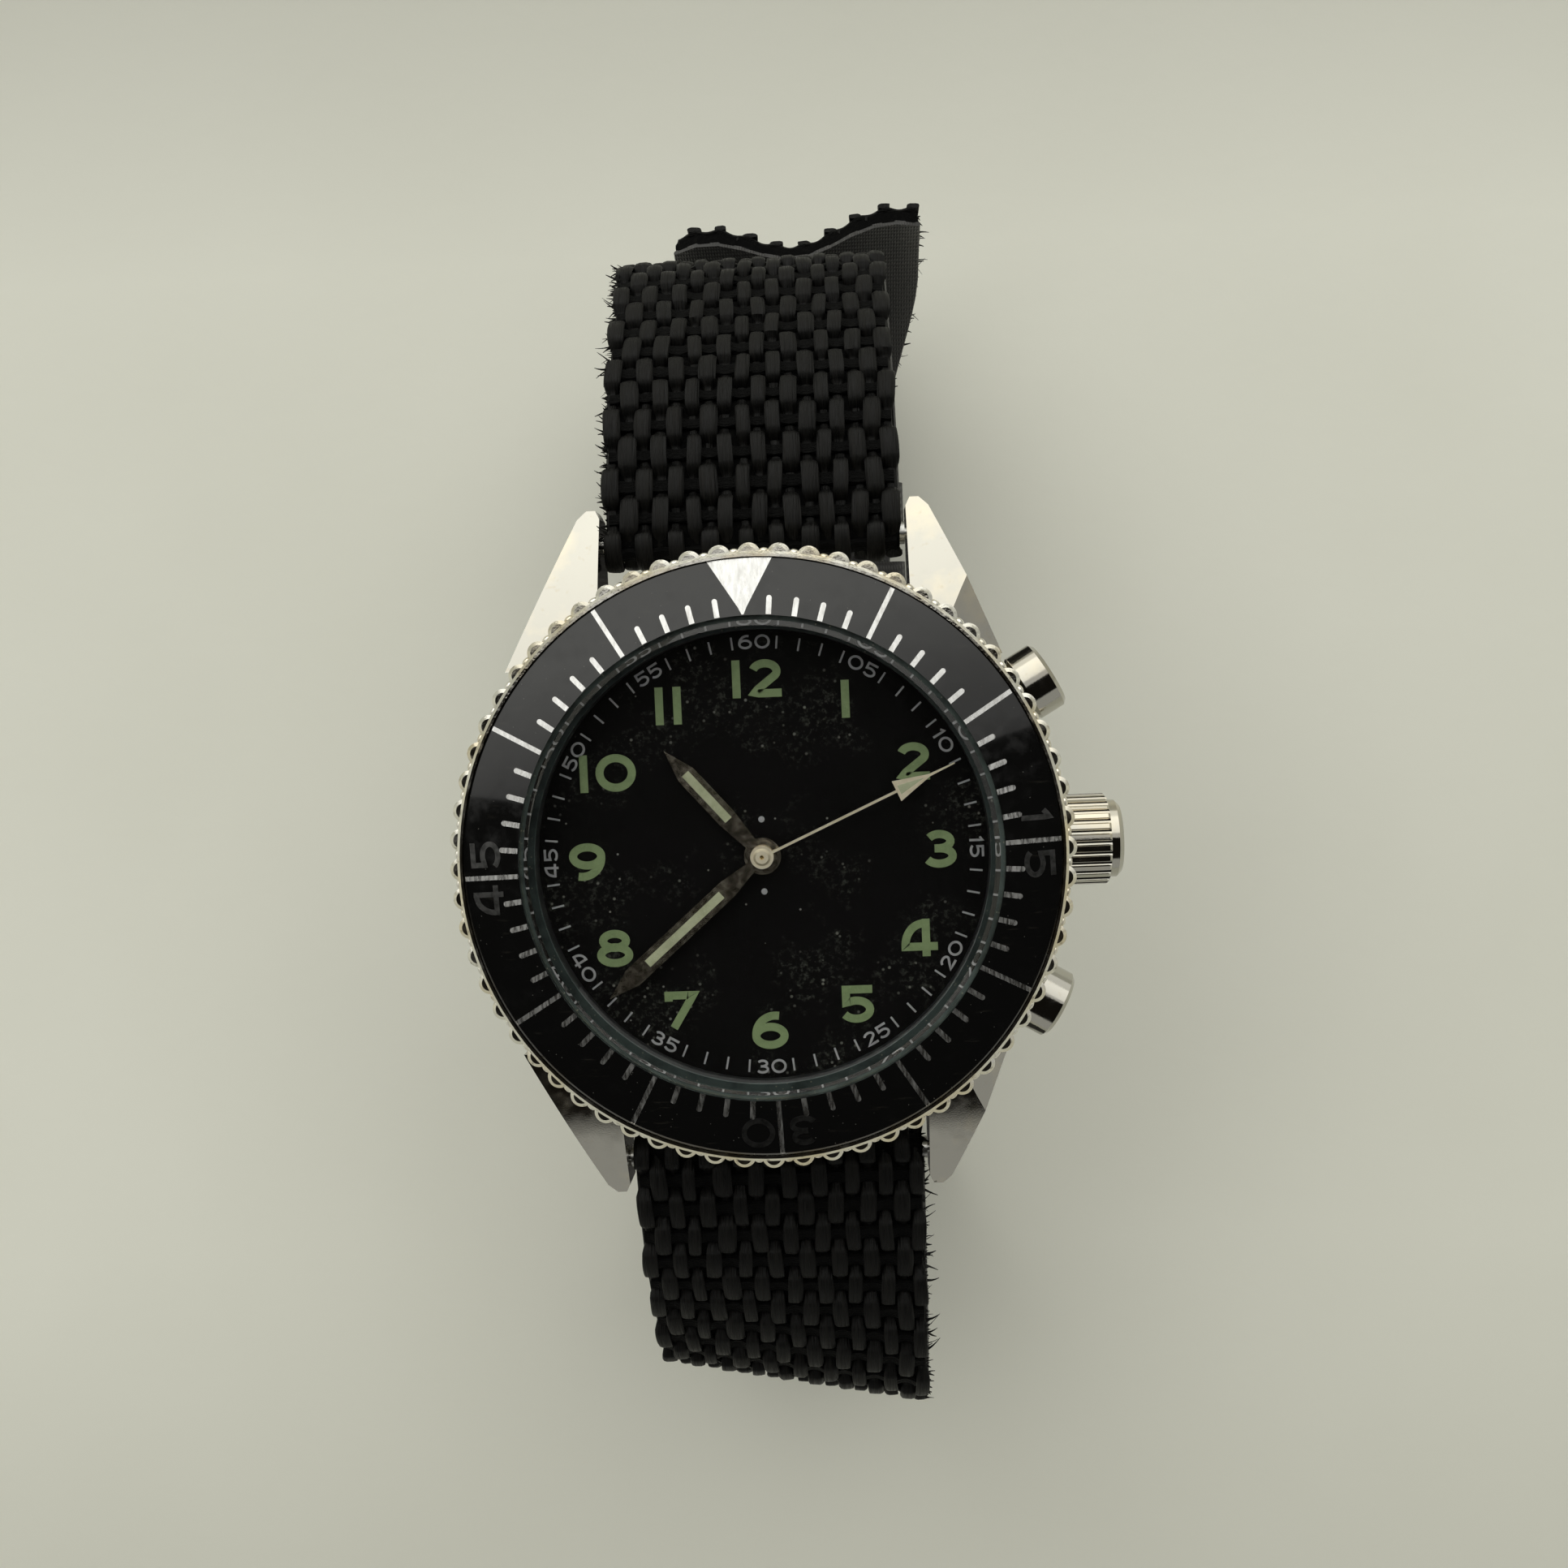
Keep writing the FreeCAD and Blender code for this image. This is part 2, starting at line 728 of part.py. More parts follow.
NECK_SHARE = 0.35       # a hand's narrowest half width, of its boss's radius
TAPER = 1.6             # length of a hand's tapering ends, in widths
COLLAR_SHARE = 0.6      # radius of the raised collar, of the boss's
TRIANGLE_START = 0.7    # where the seconds hand's triangle starts and ends, of its length
TRIANGLE_END = 0.87
CONE_SHARES = 0.75, 0.55  # the seconds hand's raised centre, of its boss's radius
BORDER_SHARE = 0.28     # metal left round the triangle's lume, of its half width


def blade(length, width, boss, bore, low, slot_start, slot_end):
    """A pencil hand: boss, narrow root, wide body with a slot for the lume, pointed tip."""
    half = width / 2
    neck = boss * NECK_SHARE
    tip = length - TAPER * width
    root = boss + TAPER * width
    corners = [
        vector(-neck, 0, low), vector(neck, 0, low), vector(neck, boss, low),
        vector(half, root, low), vector(half, tip, low), vector(0, length, low),
        vector(-half, tip, low), vector(-half, root, low), vector(-neck, boss, low),
    ]
    thick = value("hand_thickness")
    high = low + thick
    solid = plate(corners, low, high)
    solid = solid.fuse(Part.makeCylinder(boss, thick, vector(0, 0, low)))
    solid = solid.fuse(Part.makeCylinder(boss * COLLAR_SHARE, 2 * thick, vector(0, 0, low)))
    solid = solid.cut(Part.makeCylinder(bore, 3 * thick, vector(0, 0, low - thick / 2)))
    slot_half = value("lume_width") / 2
    slot = [vector(-slot_half, slot_start, low), vector(slot_half, slot_start, low),
            vector(slot_half, slot_end, low), vector(-slot_half, slot_end, low)]
    return solid.cut(plate(slot, low, high)).removeSplitter(), plate(slot, low, high)


def hands():
    thick = value("hand_thickness")
    for name, bore in (("hour", "hour_pipe_radius"), ("minute", "cannon_radius")):
        length = value(f"{name}_length")
        low = value(f"{name}_hand_low")
        boss = value(f"{name}_boss")
        start = value(f"{name}_lume_start")
        end = value(f"{name}_lume_end")
        solid, lume = blade(length, value(f"{name}_width"), boss, value(bore), low, start, end)
        made(f"{name}_hand", solid, rotation=aimed(name))
        made(f"{name}_hand_lume", lume, rotation=aimed(name))
    low = value("seconds_hand_low")
    high = low + thick
    length = value("seconds_length")
    half = value("seconds_width") / 2
    wide = value("seconds_triangle_width") / 2
    start = length * TRIANGLE_START
    point = length * TRIANGLE_END
    corners = [
        vector(-half, 0, low), vector(half, 0, low), vector(half, start, low), vector(wide, start, low),
        vector(half, point, low), vector(half / 2, length, low), vector(-half / 2, length, low),
        vector(-half, point, low), vector(-wide, start, low), vector(-half, start, low),
    ]
    boss = value("seconds_boss")
    solid = plate(corners, low, high)
    solid = solid.fuse(Part.makeCylinder(boss, thick, vector(0, 0, low)))
    lower, upper = (boss * share for share in CONE_SHARES)
    solid = solid.fuse(Part.makeCone(lower, upper, thick, vector(0, 0, high)))
    border = wide * BORDER_SHARE
    window = [
        vector(-wide + 2 * border, start + border, low), vector(wide - 2 * border, start + border, low),
        vector(0, point - 2 * border, low),
    ]
    lume = plate(window, low, high)
    solid = solid.cut(lume)
    solid = solid.cut(Part.makeCylinder(value("pivot_radius"), 3 * thick, vector(0, 0, low)))
    made("seconds_hand", solid.removeSplitter(), rotation=aimed("seconds"))
    made("seconds_hand_lume", lume, rotation=aimed("seconds"))


# ---------------------------------------------------------------- movement

ROOT_DEPTH = 1.1      # dedendum in modules
TIP_HEIGHT = 0.85     # addendum in modules
ROOT_SHARE = 0.60     # tooth's share of the pitch at its root
TIP_SHARE = 0.24      # tooth's share of the pitch at its tip


def gear(teeth, module, phase, low, thickness):
    """A toothed disc about Z with one tooth at the phase angle; the shares leave backlash."""
    pitch = teeth * module / 2
    step = 360 / teeth
    points = []
    for tooth in range(teeth):
        middle = phase + tooth * step
        points.append(around(pitch - ROOT_DEPTH * module, middle - ROOT_SHARE * step / 2, low))
        points.append(around(pitch + TIP_HEIGHT * module, middle - TIP_SHARE * step / 2, low))
        points.append(around(pitch + TIP_HEIGHT * module, middle + TIP_SHARE * step / 2, low))
        points.append(around(pitch - ROOT_DEPTH * module, middle + ROOT_SHARE * step / 2, low))
    return plate(points, low, low + thickness)


def rod(radius, low, high):
    return Part.makeCylinder(radius, high - low, vector(0, 0, low))


# Tooth counts of the train, from the rotor to the hour wheel.
ROTOR_PINION = 8
FIFTH_WHEEL = 48
FIFTH_PINION = 10
SECOND_WHEEL = 50
SECOND_PINION = 8
THIRD_WHEEL = 60
THIRD_PINION = 8
CENTRE_WHEEL = 64
CANNON_PINION = 12
MINUTE_WHEEL = 36
MINUTE_PINION = 10
HOUR_WHEEL = 40

# Directions in which each arbor lies from the one before it.
THIRD_ANGLE = 100
FIFTH_ANGLE = 260
ROTOR_ANGLE = 300
MINUTE_WHEEL_ANGLE = 40


def spacing(module, teeth_a, teeth_b):
    """Distance between the arbors of two meshing gears."""
    return value(module) * (teeth_a + teeth_b) / 2


def meshed(angle, teeth):
    """Phase of a gear whose tooth gap faces back along the line from its partner."""
    return angle + 180 + 180 / teeth


def arbor_places():
    third = around(spacing("seconds_module", SECOND_PINION, THIRD_WHEEL), THIRD_ANGLE)
    fifth = around(spacing("fifth_module", FIFTH_PINION, SECOND_WHEEL), FIFTH_ANGLE)
    rotor = fifth + around(spacing("seconds_module", ROTOR_PINION, FIFTH_WHEEL), ROTOR_ANGLE)
    minute = around(spacing("cannon_module", CANNON_PINION, MINUTE_WHEEL), MINUTE_WHEEL_ANGLE)
    return {"third": third, "fifth": fifth, "rotor": rotor, "minute": minute}


def wheel_set(label, spot, pieces):
    """Gears and rods fused into one turning piece and put on its arbor."""
    shape = pieces[0].multiFuse(pieces[1:]).removeSplitter()
    made(label, shape, spot.x, spot.y)


def train():
    """The going train and the motion work, in mesh at rest."""
    spots = arbor_places()
    fine = value("seconds_module")
    coarse = value("fifth_module")
    thin = value("gear_thickness")
    deep = value("pinion_thickness")
    over = (deep - thin) / 2
    fifth = value("fifth_level")
    second = value("second_level")
    third = value("third_level")
    centre = value("centre_level")
    pivot = value("pivot_radius")
    low = value("bridge_low") + over
    high = value("plate_low") + 2 * over
    wheel_set("rotor", spots["rotor"], [
        rod(pivot, low, high),
        gear(ROTOR_PINION, fine, ROTOR_ANGLE + 180, fifth - over, deep),
        rod(value("rotor_radius"), third - over, third - over + value("rotor_height")),
    ])
    wheel_set("fifth_wheel", spots["fifth"], [
        rod(pivot, low, high),
        gear(FIFTH_WHEEL, fine, ROTOR_ANGLE + 180 / FIFTH_WHEEL, fifth, thin),
        gear(FIFTH_PINION, coarse, meshed(FIFTH_ANGLE, FIFTH_PINION), second - over, deep),
    ])
    wheel_set("second_wheel", vector(0, 0, 0), [
        rod(pivot, low, value("seconds_hand_low") + value("hand_thickness")),
        gear(SECOND_WHEEL, coarse, FIFTH_ANGLE, second, thin),
        gear(SECOND_PINION, fine, THIRD_ANGLE, third - over, deep),
    ])
    wheel_set("third_wheel", spots["third"], [
        rod(pivot, low, high),
        gear(THIRD_WHEEL, fine, meshed(THIRD_ANGLE, THIRD_WHEEL), third, thin),
        gear(THIRD_PINION, value("centre_module"), THIRD_ANGLE, centre - over, deep),
    ])
    tube_low = centre - thin / 2
    tube_high = value("minute_hand_low") + value("hand_thickness")
    cannon_low = value("minute_wheel_level") - thin / 3
    centre_set = rod(value("cannon_radius"), tube_low, tube_high).multiFuse([
        gear(CENTRE_WHEEL, value("centre_module"), THIRD_ANGLE + 180 / CENTRE_WHEEL, centre, thin),
        gear(CANNON_PINION, value("cannon_module"), MINUTE_WHEEL_ANGLE, cannon_low, deep),
    ])
    bore = rod(value("cannon_bore"), tube_low, tube_high)
    made("centre_wheel", centre_set.cut(bore).removeSplitter())
    minute_low = value("minute_wheel_level")
    minute_high = value("hour_wheel_level") + thin + over
    minute_set = gear(MINUTE_WHEEL, value("cannon_module"), meshed(MINUTE_WHEEL_ANGLE, MINUTE_WHEEL),
                      minute_low, thin)
    minute_set = minute_set.fuse(gear(MINUTE_PINION, value("hour_module"), MINUTE_WHEEL_ANGLE + 180,
                                      minute_low, minute_high - minute_low))
    minute_set = minute_set.cut(rod(value("minute_bore"), minute_low, minute_high))
    made("minute_wheel", minute_set.removeSplitter(), spots["minute"].x, spots["minute"].y)
    hour_low = value("hour_wheel_level")
    hour_high = value("hour_hand_low") + value("hand_thickness")
    hour_set = gear(HOUR_WHEEL, value("hour_module"), MINUTE_WHEEL_ANGLE + 180 / HOUR_WHEEL, hour_low, thin)
    hour_set = hour_set.fuse(rod(value("hour_pipe_radius"), hour_low, hour_high))
    made("hour_wheel", hour_set.cut(rod(value("hour_pipe_bore"), hour_low, hour_high)).removeSplitter())


PILLARS = ((4.2, -1.9), (3.4, 4.2), (-4.2, -0.2))
BRIDGE_CORNERS = ((5.2, -3.0), (4.7, 5.2), (2.4, 5.4), (-5.2, 0.9), (-5.0, -1.2), (-0.4, -6.0), (2.0, -6.0))
BATTERY_SCREW = (-6.0, -6.6)


def screw_places():
    """Where each screw goes, and the height at which its pillar ends."""
    places = [(spot, value("bridge_top")) for spot in PILLARS]
    places.append((BATTERY_SCREW, value("plate_low - battery_height")))
    return places


def main_plate():
    """The base plate: motion-work recess above, stem channel below, pivot holes, and the minute post."""
    low = value("plate_low")
    top = value("dial_low")
    spots = arbor_places()
    body = rod(value("plate_radius"), low, top)
    floor = value("recess_floor")
    hub = vector(0, 0, 0)
    clearance = 2 * value("pivot_gap") + value("slip_gap")
    hour_room = value("hour_module") * (HOUR_WHEEL / 2 + 1) + clearance
    minute_room = value("cannon_module") * (MINUTE_WHEEL / 2 + 1) + clearance
    for spot, radius in ((hub, hour_room), (spots["minute"], minute_room)):
        body = body.cut(Part.makeCylinder(radius, top - floor, vector(spot.x, spot.y, floor)))
    body = body.cut(rod(value("cannon_radius + fit_gap"), low, top))
    hole = value("pivot_radius + pivot_gap")
    for name in ("third", "fifth", "rotor"):
        body = body.cut(Part.makeCylinder(hole, value("plate_thickness") / 3, spots[name] + vector(0, 0, low)))
    inner = value("stem_inner_x")
    wide = value("channel_half_width")
    upper = value("lever_pivot_y") + 2 * value("slider_radius") / 3
    start = inner - value("channel_margin")
    channel = [vector(start, -wide, low), vector(value("plate_radius"), -wide, low),
               vector(value("plate_radius"), upper, low), vector(start, upper, low)]
    body = body.cut(plate(channel, low, low + value("channel_depth")))
    post_high = value("hour_wheel_level")
    post = Part.makeCylinder(value("minute_post_radius"), post_high - floor,
                             spots["minute"] + vector(0, 0, floor))
    body = body.fuse(post)
    fork = value("slider_x + slider_length / 2")
    pocket_half = 2 * value("slider_groove_width")
    yoke_end = -value("yoke_pivot_y") - value("slider_groove_width")
    yoke_room = [vector(fork - pocket_half, yoke_end, low), vector(fork + pocket_half, yoke_end, low),
                 vector(fork + pocket_half, -wide, low), vector(fork - pocket_half, -wide, low)]
    body = body.cut(plate(yoke_room, low, low + value("channel_depth")))
    roof = low + value("channel_depth")
    lever_low = value("stem_height + stem_radius + lever_gap")
    yoke_low = value("stem_height - yoke_thickness / 2")
    pins = [(value("lever_pivot_x"), value("lever_pivot_y"), lever_low), (fork, -value("yoke_pivot_y"), yoke_low)]
    for x, y, pin_low in pins:
        body = body.fuse(Part.makeCylinder(value("lever_pin_radius"), roof - pin_low, vector(x, y, pin_low)))
    shank = value("screw_shank")
    for (x, y), bottom in screw_places():
        pillar = Part.makeCylinder(value("screw_radius"), low - bottom, vector(x, y, bottom))
        body = body.fuse(pillar)
        body = body.cut(Part.makeCylinder(shank, low - bottom, vector(x, y, bottom)))
    made("main_plate", body.removeSplitter())


def screws():
    """The four movement screws: three hold the train bridge and one the battery strap."""
    head = value("screw_head")
    radius = value("screw_radius")
    held = [value("bridge_thickness")] * len(PILLARS) + [value("strap_plate")]
    pieces = []
    for ((x, y), top), thickness in zip(screw_places(), held):
        low = top - thickness
        cap = Part.makeCylinder(radius, head, vector(x, y, low - head))
        shank = Part.makeCylinder(value("screw_shank"), value("plate_low") - low, vector(x, y, low))
        slot = Part.makeBox(2 * radius, head / 2, head / 2)
        slot.translate(vector(x - radius, y - head / 4, low - head))
        pieces.append(cap.fuse(shank).cut(slot))
    made("movement_screws", Part.makeCompound(pieces))


def train_bridge():
    low = value("bridge_low")
    high = value("bridge_top")
    spots = arbor_places()
    hole = value("pivot_radius + pivot_gap")
    holes = [(spots[name], hole) for name in ("third", "fifth", "rotor")]
    holes.append((vector(0, 0, 0), hole))
    holes += [(vector(x, y, 0), value("screw_shank")) for x, y in PILLARS]
    made("train_bridge", plate([vector(x, y, low) for x, y in BRIDGE_CORNERS], low, high, holes))


def battery():
    """The button cell and its retaining strap."""
    top = value("plate_low")
    spot = around(value("battery_place"), value("battery_angle"))
    can = new_body("Battery")
    rim = "plate_low - gear_thickness"
    turn(can, [
        ("0", "plate_low - battery_height"),
        ("battery_radius - 2 * crystal_bevel", "plate_low - battery_height"),
        ("battery_radius - crystal_bevel", "plate_low - battery_height + crystal_bevel"),
        ("battery_radius", "plate_low - battery_height + crystal_bevel"),
        ("battery_radius", rim),
        ("0", rim),
    ])
    across = f"battery_place * cos({SIZES['battery_angle']})"
    up = f"battery_place * sin({SIZES['battery_angle']})"
    keep(place(can, across, up), "battery")
    thick = value("strap_plate")
    low = top - value("battery_height") - thick
    screw_x, screw_y = BATTERY_SCREW
    foot = value("screw_radius")
    strip = [vector(spot.x - foot, spot.y + 2 * foot, low), vector(spot.x + foot, spot.y + 2 * foot, low),
             vector(screw_x + foot, screw_y - foot, low), vector(screw_x - foot, screw_y - foot, low)]
    shape = plate(strip, low, low + thick, [(vector(screw_x, screw_y, 0), value("screw_shank"))])
    made("battery_strap", shape)


def motor():
    """The stepping motor's coil on its core, and the stator plate round the rotor."""
    level = value("third_level")
    half = value("coil_length") / 2
    centre_x = value("coil_x")
    centre_y = -value("coil_y")
    thick = value("core_thickness")
    wide = value("core_width") / 2
    ends = half + 2 * wide
    core_points = [vector(centre_x - ends, centre_y - wide, level), vector(centre_x + ends, centre_y - wide, level),
                   vector(centre_x + ends, centre_y + wide, level), vector(centre_x - ends, centre_y + wide, level)]
    core = plate(core_points, level - thick, level)
    made("coil_core", core)
    start = vector(centre_x - half, centre_y, level - thick / 2)
    winding = Part.makeCylinder(value("coil_radius"), 2 * half, start, vector(1, 0, 0))
    made("coil", winding.cut(core))
    spot = arbor_places()["rotor"]
    left = centre_x - ends
    right = centre_x + ends
    bottom = centre_y - wide
    top = spot.y + value("stator_reach")
    notch = centre_y + value("coil_radius") + wide
    points = [vector(left, bottom, level), vector(left + 2 * wide, bottom, level),
              vector(left + 2 * wide, notch, level), vector(right - 2 * wide, notch, level),
              vector(right - 2 * wide, bottom, level), vector(right, bottom, level),
              vector(right, notch + wide, level), vector(spot.x + 3 * wide, top, level),
              vector(spot.x - 3 * wide, top, level), vector(left, notch + wide, level)]
    made("stator", plate(points, level, level + thick, [(spot, value("stator_hole"))]))


BOARD_SPAN = 95, 160    # the circuit board's ends, the chip and the quartz can, in degrees from +X
CHIP_ANGLE = 145
CAN_ANGLE = 112


def electronics():
    """The printed circuit board with its chip, and the quartz crystal's can below it."""
    high = value("plate_low")
    low = high - value("board_thickness")
    inner = value("board_inner")
    outer = value("board_outer")
    start, end = BOARD_SPAN
    sector = []
    for radius, first, last in ((outer, start, end), (inner, end, start)):
        sector.append((around(radius, first), around(radius, (first + last) / 2), around(radius, last)))
    edges = [Part.Arc(*points).toShape() for points in sector]
    edges.insert(1, Part.makeLine(around(outer, end), around(inner, end)))
    edges.append(Part.makeLine(around(inner, start), around(outer, start)))
    board = Part.Face(Part.Wire(edges)).extrude(vector(0, 0, high - low))
    board.translate(vector(0, 0, low))
    chip_spot = around((inner + outer) / 2, CHIP_ANGLE)
    chip = Part.makeCylinder(value("screw_radius"), value("board_thickness"), chip_spot + vector(0, 0, 2 * low - high))
    made("circuit_board", board.fuse(chip))
    can_spot = around((inner + outer) / 2, CAN_ANGLE) + vector(0, 0, low - value("can_radius"))
    along = around(1, 112 + 90)
    can = Part.makeCylinder(value("can_radius"), value("can_length"), can_spot - along * (value("can_length") / 2), along)
    made("quartz_can", can)


def movement_holder():
    """The plastic ring between movement and case, cut away for the stem and the pusher ends."""
    body = new_body("HolderRing")
    inner = "plate_radius + holder_gap"
    outer = "bore_radius - fit_gap"
    low = "back_thickness + holder_foot"
    turn(body, [(inner, low), (outer, low), (outer, "dial_low"), (inner, "dial_low")])
    notches = [cylinder("StemNotch", "tube_radius", "bore_radius", 0, 0, "stem_height", ALONG_X)]
    for side in (1, -1):
        aim = FreeCAD.Rotation(vector(0, 0, 1), side * value("pusher_angle")).multiply(ALONG_X)
        notches.append(cylinder(f"PusherNotch{side}", "clip_radius + 4 * slip_gap", "bore_radius", 0, 0,
                                "stem_height", aim))
    keep(cut("Holder", body, notches), "movement_holder")


# ---------------------------------------------------------------- crown and keyless work

def crown():
    """The fluted crown, its stem, the tube it slides on and its seal."""
    body = new_body("CrownBody")
    shell = "crown_radius - crown_cap_step"
    hollow = "tube_radius + 5 * oring_radius"
    turn(body, [
        ("stem_radius", "crown_hollow_x"),
        (hollow, "crown_hollow_x"),
        (hollow, "crown_inner_x"),
        ("crown_radius - crown_cap_bevel", "crown_inner_x"),
        ("crown_radius", "crown_inner_x + crown_cap_bevel"),
        ("crown_radius", "crown_inner_x + crown_length - crown_cap_bevel / 2"),
        ("crown_radius - crown_cap_bevel / 2", "crown_inner_x + crown_length"),
        (shell, "crown_inner_x + crown_length"),
        (shell, "crown_outer_x - crown_cap_bevel"),
        (f"{shell} - crown_cap_bevel", "crown_outer_x"),
        ("0", "crown_outer_x"),
        ("0", "crown_outer_x - crown_cap_length"),
        ("stem_radius", "crown_outer_x - crown_cap_length"),
    ])
    flute = new_sketch(body, "FluteOutline", lift="crown_inner_x")
    circle(flute, "crown_radius", "0", "flute_radius")
    cut_flute = pocket(body, flute, "crown_length", "Flute")
    repeat(body, cut_flute, "crown_flutes", "Flutes")
    place(body, 0, 0, "stem_height", ALONG_X)
    keep(body, "crown")
    stem = new_body("StemBody")
    turn(stem, [
        ("0", "stem_inner_x"),
        ("stem_radius", "stem_inner_x"),
        ("stem_radius", "stem_neck_x"),
        ("stem_neck_radius", "stem_neck_x"),
        ("stem_neck_radius", "stem_neck_x + stem_neck_length"),
        ("stem_radius", "stem_neck_x + stem_neck_length"),
        ("stem_radius", "crown_outer_x - crown_cap_length"),
        ("0", "crown_outer_x - crown_cap_length"),
    ])
    place(stem, 0, 0, "stem_height", ALONG_X)
    keep(stem, "winding_stem")
    tube = new_body("TubeBody")
    end = "waist_radius + tube_reach"
    turn(tube, [("stem_radius + fit_gap", "bore_radius"), ("tube_radius", "bore_radius"),
                ("tube_radius", end), ("stem_radius + fit_gap", end)])
    place(tube, 0, 0, "stem_height", ALONG_X)
    keep(tube, "crown_tube")
    seal = new_body("SealBody")
    start = "crown_hollow_x - 6 * oring_radius"
    turn(seal, [("tube_radius + fit_gap", start), (f"{hollow} - fit_gap", start),
                (f"{hollow} - fit_gap", f"{start} + 2 * oring_radius"),
                ("tube_radius + fit_gap", f"{start} + 2 * oring_radius")])
    place(seal, 0, 0, "stem_height", ALONG_X)
    keep(seal, "crown_gasket")


def keyless_work():
    """The sliding pinion on the stem, the setting lever in the stem's neck, and the yoke."""
    slider = new_body("SliderBody")
    end = "slider_x + slider_length"
    middle = "slider_x + slider_length / 2"
    turn(slider, [
        ("stem_radius + fit_gap", "slider_x"),
        ("slider_radius", "slider_x"),
        ("slider_radius", f"{middle} - slider_groove_width / 2"),
        ("slider_groove_radius", f"{middle} - slider_groove_width / 2"),
        ("slider_groove_radius", f"{middle} + slider_groove_width / 2"),
        ("slider_radius", f"{middle} + slider_groove_width / 2"),
        ("slider_radius", end),
        ("stem_radius + fit_gap", end),
    ])
    place(slider, 0, 0, "stem_height", ALONG_X)
    keep(slider, "sliding_pinion")
    pin_x = value("stem_neck_x + stem_neck_length / 2")
    pivot = vector(value("lever_pivot_x"), value("lever_pivot_y"), 0)
    half = value("lever_half_width")
    low = value("stem_height + stem_radius + lever_gap")
    thick = value("lever_thickness")
    arm = [vector(pin_x - half, -half, low), vector(pin_x + half, -half, low),
           vector(pivot.x + half, pivot.y + half, low), vector(pivot.x - half, pivot.y + half, low)]
    lever = plate(arm, low, low + thick)
    pin_low = value("stem_height + stem_neck_radius + lever_gap")
    lever = lever.fuse(Part.makeCylinder(value("lever_pin_radius"), low - pin_low, vector(pin_x, 0, pin_low)))
    eye = value("lever_pin_radius + pivot_gap")
    lever = lever.cut(Part.makeCylinder(eye, thick, pivot + vector(0, 0, low)))
    made("setting_lever", lever.removeSplitter())
    fork_x = value("slider_x + slider_length / 2")
    yoke_half = value("slider_groove_width") / 2 - value("fit_gap")
    height = value("stem_height") - value("yoke_thickness") / 2
    foot = vector(fork_x, -value("yoke_pivot_y"), 0)
    reach = -value("slider_groove_radius + fit_gap")
    strip = [vector(foot.x - yoke_half, reach, height), vector(foot.x - yoke_half, foot.y, height),
             vector(foot.x + yoke_half, foot.y, height), vector(foot.x + yoke_half, reach, height)]
    yoke = plate(strip, height, height + value("yoke_thickness"))
    turns_on = foot + vector(0, 0, height)
    yoke = yoke.fuse(Part.makeCylinder(2 * eye, value("yoke_thickness"), turns_on))
    yoke = yoke.cut(Part.makeCylinder(eye, value("yoke_thickness"), turns_on))
    made("yoke", yoke.removeSplitter())


# ---------------------------------------------------------------- pushers

def coil_spring(mean, wire, low, high, turns):
    """A compression spring of round wire, coiled about Z."""
    rise = high - low - 2 * wire
    pitch = rise / turns
    path = Part.makeHelix(pitch, rise, mean)
    path.translate(vector(0, 0, low + wire))
    start = vector(mean, 0, low + wire)
    section = Part.Wire(Part.Circle(start, vector(0, 1, pitch / (2 * math.pi * mean)), wire).toShape())
    return Part.Wire(path).makePipeShell([section], True, True)


def pusher(name, side):
    """One pusher: cap with stem, the tube it slides in, its return spring and its inner clip."""
    aim = FreeCAD.Rotation(vector(0, 0, 1), side * value("pusher_angle")).multiply(ALONG_X)
    body = new_body(f"Pusher{name}")
    cap_end = "pusher_face + pusher_cap_length"
    turn(body, [
        ("0", "pusher_stem_inner"),
        ("pusher_stem_radius", "pusher_stem_inner"),
        ("pusher_stem_radius", "pusher_face"),
        ("pusher_radius - pusher_bevel", "pusher_face"),
        ("pusher_radius", "pusher_face + pusher_bevel"),
        ("pusher_radius", f"{cap_end} - pusher_bevel"),
        ("pusher_radius - pusher_bevel", cap_end),
        ("0", cap_end),
    ])
    keep(place(body, 0, 0, "stem_height", aim), f"pusher_{name}")
    tube = new_body(f"PusherTube{name}")
    end = "waist_radius + pusher_tube_reach"
    chamber = "pusher_tube_radius - pusher_chamber_wall"
    turn(tube, [
        ("pusher_stem_radius + fit_gap", "bore_radius"),
        ("pusher_tube_radius", "bore_radius"),
        ("pusher_tube_radius", end),
        (chamber, end),
        (chamber, f"{end} - pusher_chamber_depth"),
        ("pusher_stem_radius + fit_gap", f"{end} - pusher_chamber_depth"),
    ])
    keep(place(tube, 0, 0, "stem_height", aim), f"pusher_tube_{name}")
    low = value(f"{end} - pusher_chamber_depth")
    high = value("pusher_face")
    shape = coil_spring(value("pusher_spring_radius"), value("pusher_spring_wire"), low, high,
                        value("pusher_spring_turns"))
    made(f"pusher_spring_{name}", shape, 0, 0, "stem_height", aim)
    clip = new_body(f"PusherClip{name}")
    inner = "bore_radius - clip_thickness"
    turn(clip, [("pusher_stem_radius", inner), ("clip_radius", inner),
                ("clip_radius", "bore_radius"), ("pusher_stem_radius", "bore_radius")])
    keep(place(clip, 0, 0, "stem_height", aim), f"pusher_clip_{name}")


# ---------------------------------------------------------------- strap

